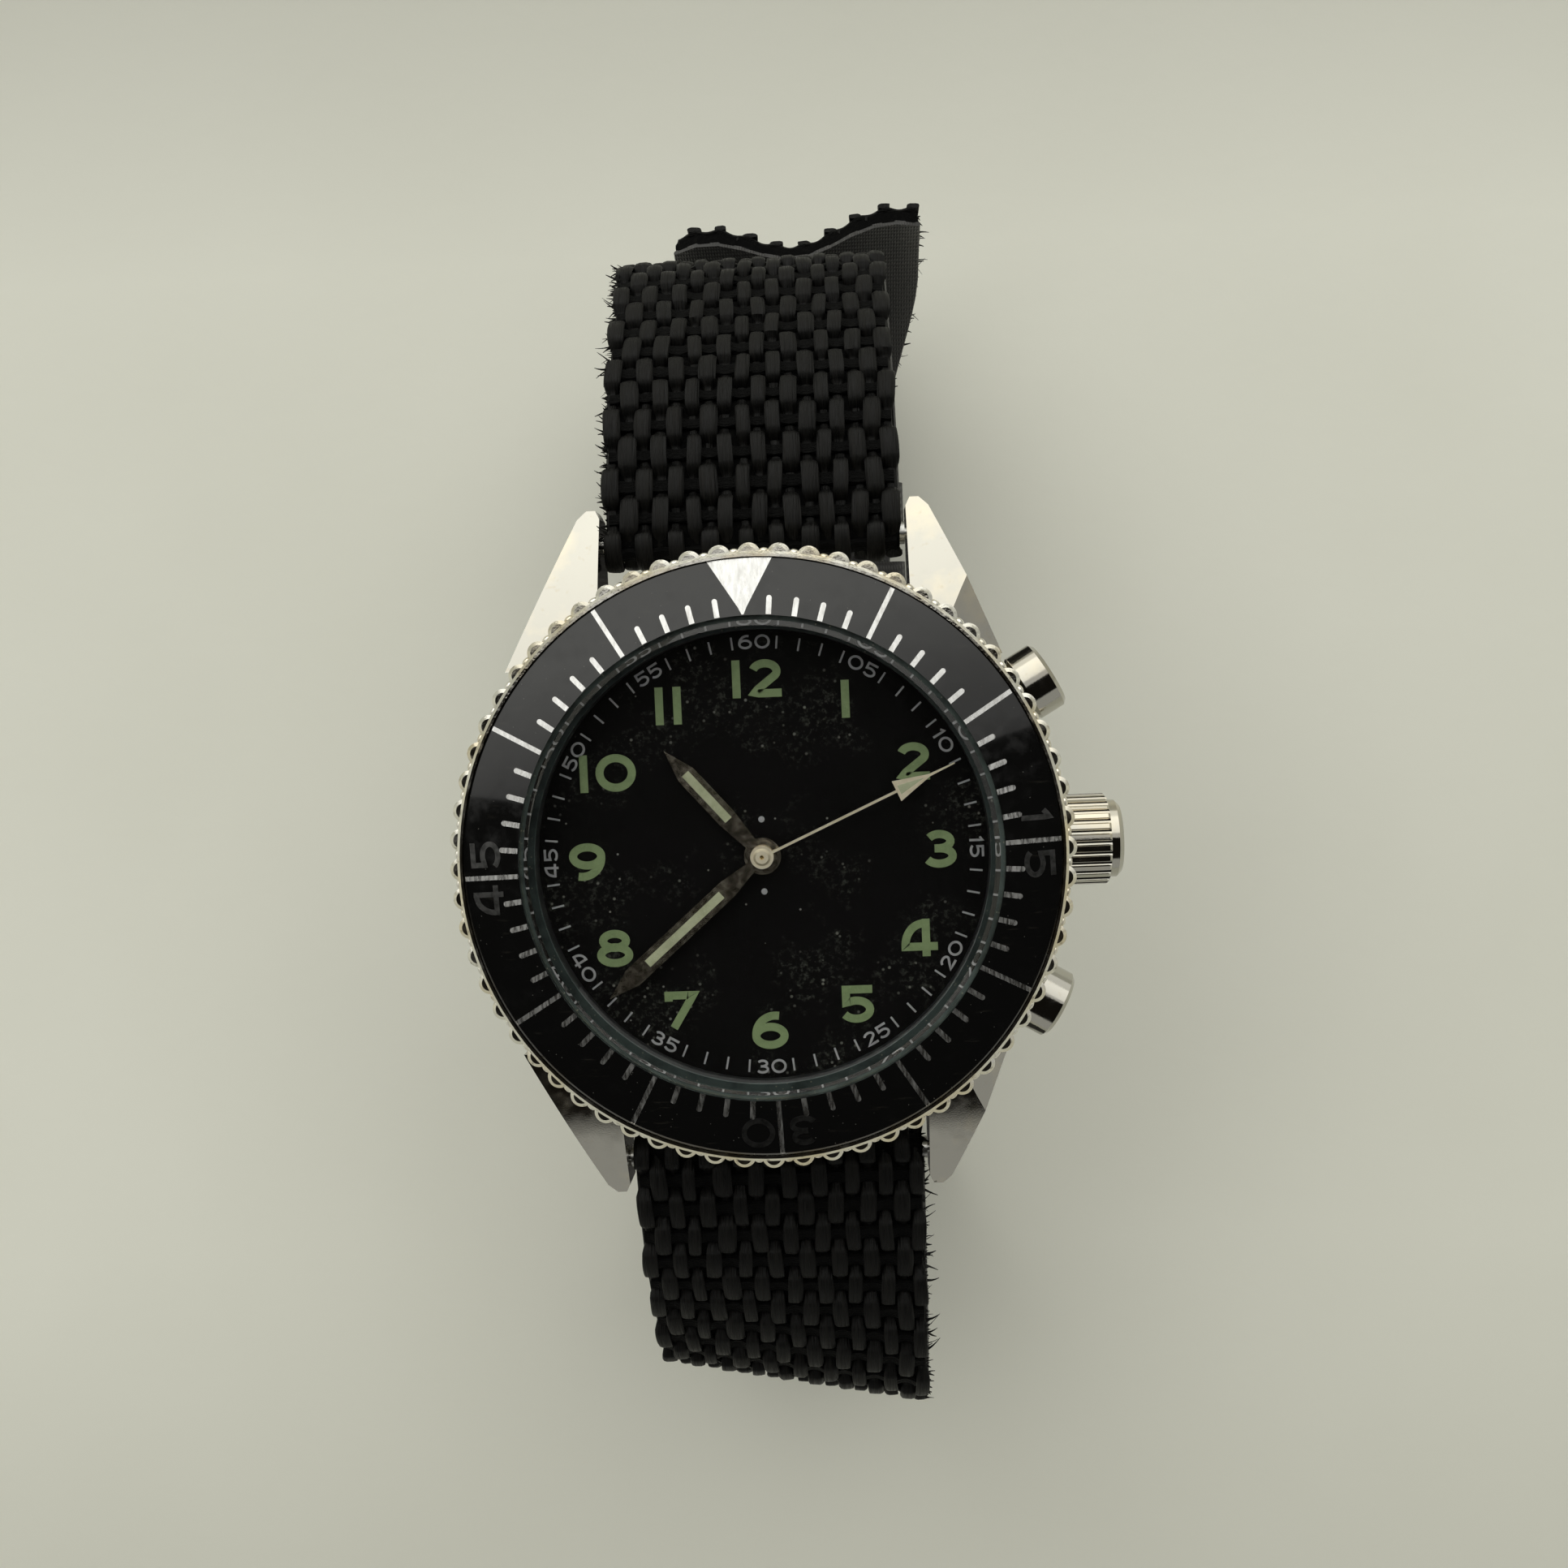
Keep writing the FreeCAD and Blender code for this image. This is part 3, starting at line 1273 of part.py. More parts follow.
class Path:
    """A flat route of lines and arcs in the YZ plane, drawn as a band of even thickness."""

    def __init__(self, y, z, heading):
        self.spot = vector(0, y, z)
        self.heading = heading
        self.runs = []

    def ahead(self):
        angle = math.radians(self.heading)
        return vector(0, math.cos(angle), math.sin(angle))

    def left(self):
        angle = math.radians(self.heading)
        return vector(0, -math.sin(angle), math.cos(angle))

    def line(self, length):
        start = vector(*self.spot)
        left = self.left()
        self.spot = start + self.ahead() * length
        self.runs.append(("line", start, vector(*self.spot), left, left))

    def bend(self, radius, degrees):
        """Turn left by degrees, or right where they are negative, along an arc."""
        sign = 1 if degrees > 0 else -1
        start = vector(*self.spot)
        first = self.left()
        centre = start + first * (radius * sign)
        self.heading += degrees / 2
        middle = self.left()
        self.heading += degrees / 2
        last = self.left()
        self.spot = centre - last * (radius * sign)
        halfway = centre - middle * (radius * sign)
        self.runs.append(("arc", start, vector(*self.spot), first, last, halfway, middle))

    def side(self, offset):
        """Edges at an offset to the left of the route."""
        edges = []
        for run in self.runs:
            begin = run[1] + run[3] * offset
            end = run[2] + run[4] * offset
            if run[0] == "line":
                edges.append(Part.makeLine(begin, end))
            else:
                edges.append(Part.Arc(begin, run[5] + run[6] * offset, end).toShape())
        return edges

    def band(self, thickness, width):
        """The solid of the band, centred on X = 0."""
        left = self.side(thickness / 2)
        right = self.side(-thickness / 2)
        first = Part.makeLine(right[0].firstVertex().Point, left[0].firstVertex().Point)
        last = Part.makeLine(left[-1].lastVertex().Point, right[-1].lastVertex().Point)
        wire = Part.Wire(Part.__sortEdges__(left + right + [first, last]))
        solid = Part.Face(wire).extrude(vector(width, 0, 0))
        solid.translate(vector(-width / 2, 0, 0))
        return solid


def eye(y, z, bar_radius, width):
    """The rolled end of a strap, less the bar it turns on: the roll and the bore."""
    bore = bar_radius + value("strap_bar_gap")
    start = vector(-width / 2, y, z)
    roll = Part.makeCylinder(bore + value("strap_eye_wall"), width, start, vector(1, 0, 0))
    hole = Part.makeCylinder(bore, width, start, vector(1, 0, 0))
    return roll, hole


def strap_start():
    """Place and heading of the upper band's middle line, tangent to the top of the rolled end."""
    slope = math.radians(value("strap_slope"))
    lift = value("bar_radius + strap_bar_gap + strap_eye_wall - strap_thickness / 2")
    y = value("bar_y") + lift * math.sin(slope)
    z = value("bar_height") + lift * math.cos(slope)
    return y, z


def upper_route():
    y, z = strap_start()
    route = Path(y, z, -value("strap_slope"))
    route.bend(value("shoulder_arc"), -value("upper_turn"))
    route.bend(value("upper_arc"), -(180 - value("strap_slope") - value("upper_turn")))
    return route


def buckle_place():
    """Centre of the buckle's bar, at the end of the upper strap."""
    route = upper_route()
    return value("bar_y - buckle_setback"), route.spot.z


def strap_upper():
    """The short half: from its spring bar over the wrist's side to the buckle's bar."""
    width = value("strap_width")
    route = upper_route()
    y, z = buckle_place()
    route.line(route.spot.y - y)
    solid = route.band(value("strap_thickness"), width)
    roll, hole = eye(value("bar_y"), value("bar_height"), value("bar_radius"), width)
    buckle_roll, buckle_hole = eye(y, z, value("buckle_bar_radius"), width)
    solid = solid.multiFuse([roll, buckle_roll]).cut(hole).cut(buckle_hole)
    deep = value("tongue_slot_depth")
    slot = Part.makeBox(value("tongue_slot"), deep + 3, 8)
    slot.translate(vector(-value("tongue_slot") / 2, y - 3, z - 4))
    made("strap_upper", solid.cut(slot).removeSplitter())


def strap_lower():
    """The long half: down the other side, under the wrist and up behind the short half."""
    width = value("strap_width")
    y, z = strap_start()
    route = Path(y, z, -value("strap_slope"))
    route.bend(value("shoulder_arc"), -value("lower_turn"))
    lean = value("strap_slope + lower_turn")
    route.bend(value("lower_edge_arc"), -(90 - lean))
    route.bend(value("lower_side_arc"), -value("lower_side_turn"))
    route.bend(value("lower_corner_arc"), -(90 - value("lower_side_turn")))
    floor = route.spot.z
    route.line(route.spot.y + value("bar_y + tail_reach"))
    route.bend(value("tail_arc"), -90)
    route.bend(value("tail_arc") / 2, value("tail_flare_turn"))
    route.line(value("tail_flare"))
    solid = route.band(value("strap_thickness"), width)
    roll, hole = eye(value("bar_y"), value("bar_height"), value("bar_radius"), width)
    solid = solid.fuse(roll).cut(hole)
    for index in range(int(value("hole_count"))):
        spot = vector(0, value("hole_first_y") + index * value("hole_pitch"), floor - 5)
        solid = solid.cut(Part.makeCylinder(value("hole_radius"), 10, vector(0, -spot.y, spot.z)))
    solid = solid.mirror(vector(0, 0, 0), vector(0, 1, 0))
    made("strap_lower", solid.removeSplitter())


def spring_bars():
    for name, side in (("upper", 1), ("lower", -1)):
        body = new_body(f"SpringBar{name}")
        half = "lug_gap / 2"
        pivot = "lug_gap / 2 + bar_pivot_length"
        turn(body, [
            ("0", f"-({pivot})"),
            ("bar_pivot_radius", f"-({pivot})"),
            ("bar_pivot_radius", f"-({half}) + slip_gap"),
            ("bar_radius", f"-({half}) + slip_gap"),
            ("bar_radius", f"{half} - slip_gap"),
            ("bar_pivot_radius", f"{half} - slip_gap"),
            ("bar_pivot_radius", pivot),
            ("0", pivot),
        ])
        place(body, 0, f"{side} * bar_y", "bar_height", ALONG_X)
        keep(body, f"spring_bar_{name}")


def keeper(label, y, z):
    """A loop round the strap with room for the tail on its outer side."""
    gap = value("keeper_gap")
    wall = value("keeper_wall")
    wide = value("strap_width") / 2 + gap
    high = z + value("strap_thickness") / 2 + gap
    low = z - value("strap_thickness") / 2 - gap - value("keeper_room")
    length = value("keeper_width")
    outer = Part.makeBox(2 * (wide + wall), length, high - low + 2 * wall, vector(-wide - wall, y, low - wall))
    edges = [edge for edge in outer.Edges if abs(edge.tangentAt(edge.FirstParameter).y) > 0.9]
    outer = outer.makeFillet(wall, edges)
    inner = Part.makeBox(2 * wide, length, high - low, vector(-wide, y, low))
    made(label, outer.cut(inner))


BAR_PIVOT_SHARE = 0.6   # radius of the buckle bar's thin ends, of the bar's
BAR_PIVOT_REACH = 0.8   # how far they enter the frame's sides, of the sides' width


def buckle():
    """The frame, its tongue, its bar and the two keepers."""
    y, z = buckle_place()
    wire = value("buckle_wire")
    side = value("buckle_side")
    inner = value("strap_width") / 2 + value("buckle_side_gap")
    outer = inner + side
    length = value("buckle_length")
    frame = Part.makeBox(2 * outer, length + wire + side, wire, vector(-outer, y - length - wire, z - wire / 2))
    corners = [edge for edge in frame.Edges
               if abs(edge.tangentAt(edge.FirstParameter).z) > 0.9 and edge.CenterOfMass.y < y]
    frame = frame.makeFillet(side, corners)
    window = Part.makeBox(2 * inner, length + 2 * side + wire, 3 * wire, vector(-inner, y - length, z - 1.5 * wire))
    frame = frame.cut(window)
    bar = value("buckle_bar_radius")
    pivot = bar * BAR_PIVOT_SHARE
    pin_hole = Part.makeCylinder(pivot + value("lug_hole_gap"), 2 * outer, vector(-outer, y, z), vector(1, 0, 0))
    frame = frame.cut(pin_hole)
    rounded = [edge for edge in frame.Edges
               if abs(abs(edge.CenterOfMass.z - z) - wire / 2) < 1e-6 and edge.CenterOfMass.y < y - length / 2]
    frame = frame.makeChamfer(wire / 5, rounded)
    made("buckle_frame", frame)
    pin_end = inner + side * BAR_PIVOT_REACH
    pin_half = inner - value("slip_gap")
    pin = Part.makeCylinder(bar, 2 * pin_half, vector(-pin_half, y, z), vector(1, 0, 0))
    thin = Part.makeCylinder(pivot, 2 * pin_end, vector(-pin_end, y, z), vector(1, 0, 0))
    made("buckle_bar", pin.fuse(thin))
    width = value("tongue_width")
    thick = value("tongue_thickness")
    gap = value("strap_bar_gap")
    hub = Part.makeCylinder(bar + gap + thick, width, vector(-width / 2, y, z), vector(1, 0, 0))
    low = z - wire / 2 - 2 * gap
    reach = length + wire
    shaft = Part.makeBox(width, reach, thick, vector(-width / 2, y - reach, low - thick))
    step = Part.makeBox(width, 2 * thick, bar + gap, vector(-width / 2, y - 2 * thick, low - thick / 2))
    tongue = hub.multiFuse([shaft, step])
    tongue = tongue.cut(Part.makeCylinder(bar + gap, width, vector(-width / 2, y, z), vector(1, 0, 0)))
    made("buckle_tongue", tongue.removeSplitter())
    keeper("fixed_keeper", value("bar_y - fixed_keeper_setback"), z)
    keeper("free_keeper", value("bar_y - fixed_keeper_setback + keeper_spacing"), z)


# ---------------------------------------------------------------- assembly

case_middle()
case_back()
crystal()
bezel()
dial()
hands()
movement_holder()
main_plate()
train_bridge()
screws()
train()
battery()
motor()
electronics()
crown()
keyless_work()
pusher("upper", 1)
pusher("lower", -1)
strap_upper()
strap_lower()
spring_bars()
buckle()
doc.recompute()

failed = [item.Name for item in doc.Objects if "Invalid" in item.State or "Error" in item.State]
if failed:
    raise RuntimeError(f"these objects failed: {failed}")
for node in nodes:
    if node.Shape.isNull() or not node.Shape.isValid() or not node.Shape.Solids:
        raise RuntimeError(f"{node.Label} has no valid solid")

os.makedirs("parts", exist_ok=True)
for node in nodes:
    node.Shape.exportStep(os.path.join("parts", f"{node.Label}.step"))
    print(node.Label, len(node.Shape.Solids), round(node.Shape.Volume, 3))
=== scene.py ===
"""Looks of a pilot-style watch with a turning bezel on a coarse woven strap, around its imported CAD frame.

Lengths are written in millimetres and turned into metres by MM. The watch lies dial up: +Z comes out of
the dial, +Y points at 12 o'clock and +X at the crown.
"""
import json
import math
import random

import bpy
import numpy as np
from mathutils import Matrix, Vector


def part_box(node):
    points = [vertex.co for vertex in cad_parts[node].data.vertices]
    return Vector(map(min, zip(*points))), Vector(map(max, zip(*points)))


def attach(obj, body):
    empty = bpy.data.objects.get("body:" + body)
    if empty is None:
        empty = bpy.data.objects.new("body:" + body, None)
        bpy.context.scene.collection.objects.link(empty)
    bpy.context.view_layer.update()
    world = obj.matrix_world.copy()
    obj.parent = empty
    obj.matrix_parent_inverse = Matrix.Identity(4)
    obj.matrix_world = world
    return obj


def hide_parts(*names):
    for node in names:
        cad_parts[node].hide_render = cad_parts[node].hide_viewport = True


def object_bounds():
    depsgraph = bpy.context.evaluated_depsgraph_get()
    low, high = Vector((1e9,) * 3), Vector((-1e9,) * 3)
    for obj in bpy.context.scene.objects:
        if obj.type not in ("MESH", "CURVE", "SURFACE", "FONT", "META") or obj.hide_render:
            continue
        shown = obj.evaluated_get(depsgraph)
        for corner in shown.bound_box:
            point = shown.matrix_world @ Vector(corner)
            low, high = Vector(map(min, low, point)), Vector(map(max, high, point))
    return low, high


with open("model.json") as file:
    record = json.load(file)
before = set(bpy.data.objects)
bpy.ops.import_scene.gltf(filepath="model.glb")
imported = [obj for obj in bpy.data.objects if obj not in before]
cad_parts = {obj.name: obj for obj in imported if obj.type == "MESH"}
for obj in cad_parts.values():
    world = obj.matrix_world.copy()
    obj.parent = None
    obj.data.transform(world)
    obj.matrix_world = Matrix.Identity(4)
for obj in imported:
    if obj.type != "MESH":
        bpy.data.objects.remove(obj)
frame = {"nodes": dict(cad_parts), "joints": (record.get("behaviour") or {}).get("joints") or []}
CAD_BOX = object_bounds()
NODES = frame["nodes"]
JOINT_PLACE = {joint["name"]: joint["pos_m"] for joint in frame["joints"] if "pos_m" in joint}
MM = 0.001
FULL_TURN = 2 * math.pi

# ---- sizes, in millimetres

DIAL_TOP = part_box("dial")[1].z / MM
INSERT_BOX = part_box("bezel_insert")
INSERT_OUTER = INSERT_BOX[1].x / MM
INSERT_TOP = INSERT_BOX[1].z / MM
INSERT_INNER = 15.4
INSERT_DROP = 0.65
PRINT_DEPTH = 0.03
PRINT_STEP = 0.006
FLATNESS = 0.75
SHARP_ANGLE = 50
HAND_BEVEL = 0.06
KEEPER_BEVEL = 0.25

HOUR_RADIUS = 11.45
HOUR_HEIGHT = 2.44
HOUR_STROKE = 0.52
HOUR_GAP = 0.38
MINUTE_RADIUS = 13.82
MINUTE_HEIGHT = 0.92
MINUTE_STROKE = 0.15
MINUTE_GAP = 0.16
TICK_INNER = 13.4
TICK_OUTER = 14.22
TICK_WIDTH = 0.12
DOT_RADIUS = 0.2
DOT_PLACE = 2.35

BEZEL_TWIST = 1.8
LONG_LINE_WIDTH = 0.3
SHORT_LINE_WIDTH = 0.34
SHORT_LINE_LENGTH = 1.25
LINE_FROM_INNER = 0.04
LINE_FROM_OUTER = 0.08
LINE_STEP = 0.6
BEZEL_NUMBER_HEIGHT = 2.0
BEZEL_NUMBER_STROKE = 0.34
BEZEL_NUMBER_OUT = 0.35
BEZEL_FIGURE_SPREAD = 1.45
BEZEL_FIGURE_STEP = 0.3
TRIANGLE_HALF = 2.1
TRIANGLE_TIP = 0.06
TRIANGLE_FROM_INNER = 0.05
TRIANGLE_FROM_OUTER = 0.1
BUMP_COUNT = 64
LINK_START = 180 / BUMP_COUNT
LINK_RADIUS = 19.5
LINK_HALF = 0.36
LINK_DEEP = 0.26
LINK_TALL = 0.55
LINK_POINTED = 0.8
LINK_Z = 8.55

BAR_Y = JOINT_PLACE["strap_upper_turn"][1] / MM
BAR_Z = JOINT_PLACE["strap_upper_turn"][2] / MM
BUCKLE_Y = JOINT_PLACE["buckle_turn"][1] / MM
BUCKLE_Z = JOINT_PLACE["buckle_turn"][2] / MM
STRAP_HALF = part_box("strap_upper")[1].x / MM
EYE_LINE = 0.93
EYE_TURN = 192
UPPER_BENDS = ((45, -28), (11, -140))
LOWER_BENDS = ((45, -22), (9, -56), (30, -30), (15.8, -60))
TAIL_BENDS = ((19.5, -90), (9.75, 8))
TAIL_REACH = 8.1
TAIL_STRAIGHT = 1.6
SLAB_ROUNDING = 0.3
WARP_COUNT = 18
WEAVE_PERIOD = 4.5
FLOAT_SHARE = 0.64
YARN_HEIGHT = 0.42
WEFT_HEIGHT = 0.6
WARP_LIFT = 0.8
WARP_STEP = 0.27
WARP_DIP = 0.1
DIP_WIDTH = 0.62
WANDER = 0.07
WANDER_RATE = 0.9
WARP_EDGE = 0.4
FLOAT_MARGIN = 0.03
FLOAT_RAMP = 0.1
FLOAT_FALL = 0.35
WEFT_LIFT = 0.3
WEFT_BASE = 0.12
WEFT_EDGE = 0.35
CORE_TOP = 0.1
CORE_BOTTOM = -0.72
CORE_INSET = 0.15
LINING_TOP = -0.66
LINING_BOTTOM = -1.0
TAIL_LENGTH = 24
TAIL_TRIM = 7.0
FRAY_COUNT = 620
FRAY_LENGTHS = (0.25, 0.3, 0.35, 0.45, 0.9)
SLAB_COLUMNS = 12
PEAK_SPACING = 15
PEAK_DEPTH = 1.7
TAIL_SLANT = 0.12
HOLE_FIRST_Y = -12.0
HOLE_COUNT = 7
HOLE_PITCH = 5.5
HOLE_RADIUS = 0.9
SLOT_HALF = 1.3
SLOT_LENGTH = 3.2
HOLE_MARGIN = 0.2
RING_WIRE = 0.5
RING_HEIGHT = 0.55
RING_TALL = 1.2

# ---- mesh helpers


class Shape:
    """Gathers points and faces, in millimetres, into one mesh piece."""

    def __init__(self):
        self.points = []
        self.faces = []
        self.count = 0

    def add(self, points, faces):
        points = np.asarray(points, float).reshape(-1, 3)
        self.points.append(points)
        self.faces.extend([tuple(int(i) + self.count for i in face) for face in faces])
        self.count += len(points)

    def grid(self, rings, caps=True):
        """Rings of equal length, joined one to the next into a tube."""
        rings = np.asarray(rings, float)
        rows, columns = rings.shape[:2]
        row, column = np.meshgrid(np.arange(rows - 1), np.arange(columns), indexing="ij")
        after = (column + 1) % columns
        quads = np.stack([row * columns + column, row * columns + after,
                          (row + 1) * columns + after, (row + 1) * columns + column], -1).reshape(-1, 4)
        faces = quads.tolist()
        if caps:
            faces.append(list(range(columns))[::-1])
            faces.append([(rows - 1) * columns + i for i in range(columns)])
        self.add(rings.reshape(-1, 3), faces)

    def flat_caps(self, rows, columns):
        """Closes both ends of the last strip with narrow faces from its outside to its inside."""
        outside = list(range(1, columns // 2 + 1))
        inside = [0] + list(range(columns - 1, columns // 2, -1))
        begin = self.count - rows * columns
        finish = self.count - columns
        for a, b, c, d in zip(inside, outside, outside[1:], inside[1:]):
            self.faces.append((begin + d, begin + c, begin + b, begin + a))
            self.faces.append((finish + a, finish + b, finish + c, finish + d))

    def plain(self, name):
        """The gathered faces as a Blender object, with no finish and on no body."""
        mesh = bpy.data.meshes.new(name)
        mesh.from_pydata((np.concatenate(self.points) * MM).tolist(), [], self.faces)
        made = bpy.data.objects.new(name, mesh)
        bpy.context.scene.collection.objects.link(made)
        return made

    def piece(self, name, body, look, flip=False):
        """A smooth-shaded piece that rides on a body of the watch."""
        made = self.plain(name)
        mesh = made.data
        mesh.validate()
        if flip:
            mesh.flip_normals()
        mesh.polygons.foreach_set("use_smooth", [True] * len(mesh.polygons))
        mesh.set_sharp_from_angle(angle=math.radians(SHARP_ANGLE))
        mesh.materials.append(look)
        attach(made, body)
        return made


def round_angles(count):
    """Equally spaced angles once round a circle."""
    return np.linspace(0, FULL_TURN, count, endpoint=False)


def tube(shape, path, sides, up, across, width, height, ridges=None):
    """A tube of elliptic section along path, with widths and heights given for each point."""
    angles = round_angles(sides)
    around = np.ones(sides) if ridges is None else ridges
    flatter = [np.sign(f) * np.abs(f) ** FLATNESS for f in (np.cos(angles), np.sin(angles))]
    wide = (flatter[0] * around)[None, :, None] * across[:, None, :] * (width / 2)[:, None, None]
    tall = (flatter[1] * around)[None, :, None] * up[:, None, :] * (height / 2)[:, None, None]
    shape.grid(path[:, None, :] + wide + tall)


def disc(x, y, radius, steps=24):
    """Points round a circle."""
    return [(x + radius * math.cos(a), y + radius * math.sin(a)) for a in round_angles(steps)]


# ---- figures

def bow(x, y, radius_x, radius_y, start, end, steps=18):
    """Points along an elliptic arc, by angles in degrees."""
    angles = np.radians(np.linspace(start, end, steps))
    return [(x + radius_x * math.cos(a), y + radius_y * math.sin(a)) for a in angles]


# Each figure is its width and its strokes' middle lines, in a box one unit high. A stroke says whether its
# two ends run on by half the stroke's width, to meet the outside of the box.
FIGURES = {
    "0": (1.1, [(bow(0.55, 0.5, 0.55, 0.5, 0, 360, 36), False, False)]),
    "1": (0.14, [([(0.07, 0.0), (0.07, 1.0)], True, True)]),
    "2": (0.84, [(bow(0.43, 0.73, 0.4, 0.27, 165, -30, 18) + [(0.0, 0.0), (0.84, 0.0)], False, True)]),
    "3": (0.84, [(bow(0.4, 0.76, 0.38, 0.24, 150, -90, 16), False, False),
                 (bow(0.4, 0.26, 0.44, 0.26, 90, -155, 18), False, False),
                 ([(0.24, 0.52), (0.42, 0.52)], False, False)]),
    "4": (0.95, [([(0.7, 0.0), (0.7, 1.0)], True, True),
                 ([(0.7, 0.98)] + bow(0.62, 0.24, 0.62, 0.74, 97, 178, 12) + [(0.0, 0.2), (0.95, 0.2)],
                  False, True)]),
    "5": (0.86, [([(0.82, 1.0), (0.06, 1.0), (0.06, 0.56)] + bow(0.4, 0.31, 0.46, 0.31, 118, -150, 22),
                  True, False)]),
    "6": (0.96, [(bow(0.48, 0.31, 0.48, 0.31, 0, 360, 30), False, False),
                 (bow(0.66, 0.36, 0.66, 0.64, 182, 78, 14), False, False)]),
    "7": (0.86, [([(0.0, 0.8), (0.0, 1.0), (0.84, 1.0), (0.22, 0.0)], False, True)]),
    "8": (0.96, [(bow(0.48, 0.76, 0.39, 0.24, 0, 360, 26), False, False),
                 (bow(0.48, 0.27, 0.48, 0.27, 0, 360, 28), False, False)]),
    "9": (0.96, [(bow(0.48, 0.69, 0.48, 0.31, 0, 360, 30), False, False),
                 (bow(0.3, 0.64, 0.66, 0.64, 2, -102, 14), False, False)]),
}
FLAG = [([(-0.2, 0.76), (0.07, 1.0), (0.07, 0.0)], False, True)]


def finely(points, longest):
    """The same line with more points on its long runs, so that it can follow a curved surface."""
    fine = [points[0]]
    for before, after in zip(points, points[1:]):
        pieces = max(1, math.ceil(math.dist(before, after) / longest))
        for k in range(1, pieces + 1):
            t = k / pieces
            fine.append((before[0] + (after[0] - before[0]) * t, before[1] + (after[1] - before[1]) * t))
    return fine


def stroke(shape, points, width, place, top=PRINT_DEPTH):
    """A flat raised line of the given width, mapped onto a surface by place(x, y, height)."""
    line = np.array(points, float)
    closed = np.allclose(line[0], line[-1])
    step = np.diff(line, axis=0)
    step /= np.linalg.norm(step, axis=1)[:, None]
    normal = np.stack([-step[:, 1], step[:, 0]], 1)
    before = np.vstack([normal[-1:] if closed else normal[:1], normal])
    after = np.vstack([normal, normal[:1] if closed else normal[-1:]])
    mitre = before + after
    mitre /= np.maximum((mitre * before).sum(1), 0.5)[:, None]
    left = line + mitre * width / 2
    right = line - mitre * width / 2
    rings = [[place(*left[i], top), place(*left[i], -PRINT_DEPTH),
              place(*right[i], -PRINT_DEPTH), place(*right[i], top)] for i in range(len(line))]
    shape.grid(rings, caps=not closed)


def run_on(points, length, start, end):
    """The line with its first or last run made longer."""
    line = [Vector(p) for p in points]
    if start:
        line[0] = line[0] + (line[0] - line[1]).normalized() * length
    if end:
        line[-1] = line[-1] + (line[-1] - line[-2]).normalized() * length
    return [tuple(p) for p in line]


def number(shape, text, centre, turned, height, width, place, gap=0.3, flagged=False, longest=0.4):
    """A number centred at a point and turned by degrees, in strokes of the given width."""
    tall = height - width
    lefts = []
    spot = 0.0
    for figure in text:
        lefts.append(spot)
        spot += FIGURES[figure][0] * tall + width + gap
    total = spot - gap - width
    angle = math.radians(turned)
    for figure, left in zip(text, lefts):
        strokes = FLAG if (flagged and figure == "1") else FIGURES[figure][1]
        for index, (points, start, end) in enumerate(strokes):
            flat = [(left - total / 2 + x * tall, (y - 0.5) * tall) for x, y in points]
            flat = finely(run_on(flat, width / 2, start, end), longest)
            turned_points = [(centre[0] + x * math.cos(angle) - y * math.sin(angle),
                              centre[1] + x * math.sin(angle) + y * math.cos(angle)) for x, y in flat]
            stroke(shape, turned_points, width, place, PRINT_DEPTH + index * PRINT_STEP)


def on_clock(radius, degrees):
    """The point at a radius and a clockwise angle from 12 o'clock."""
    angle = math.radians(degrees)
    return radius * math.sin(angle), radius * math.cos(angle)


# ---- materials

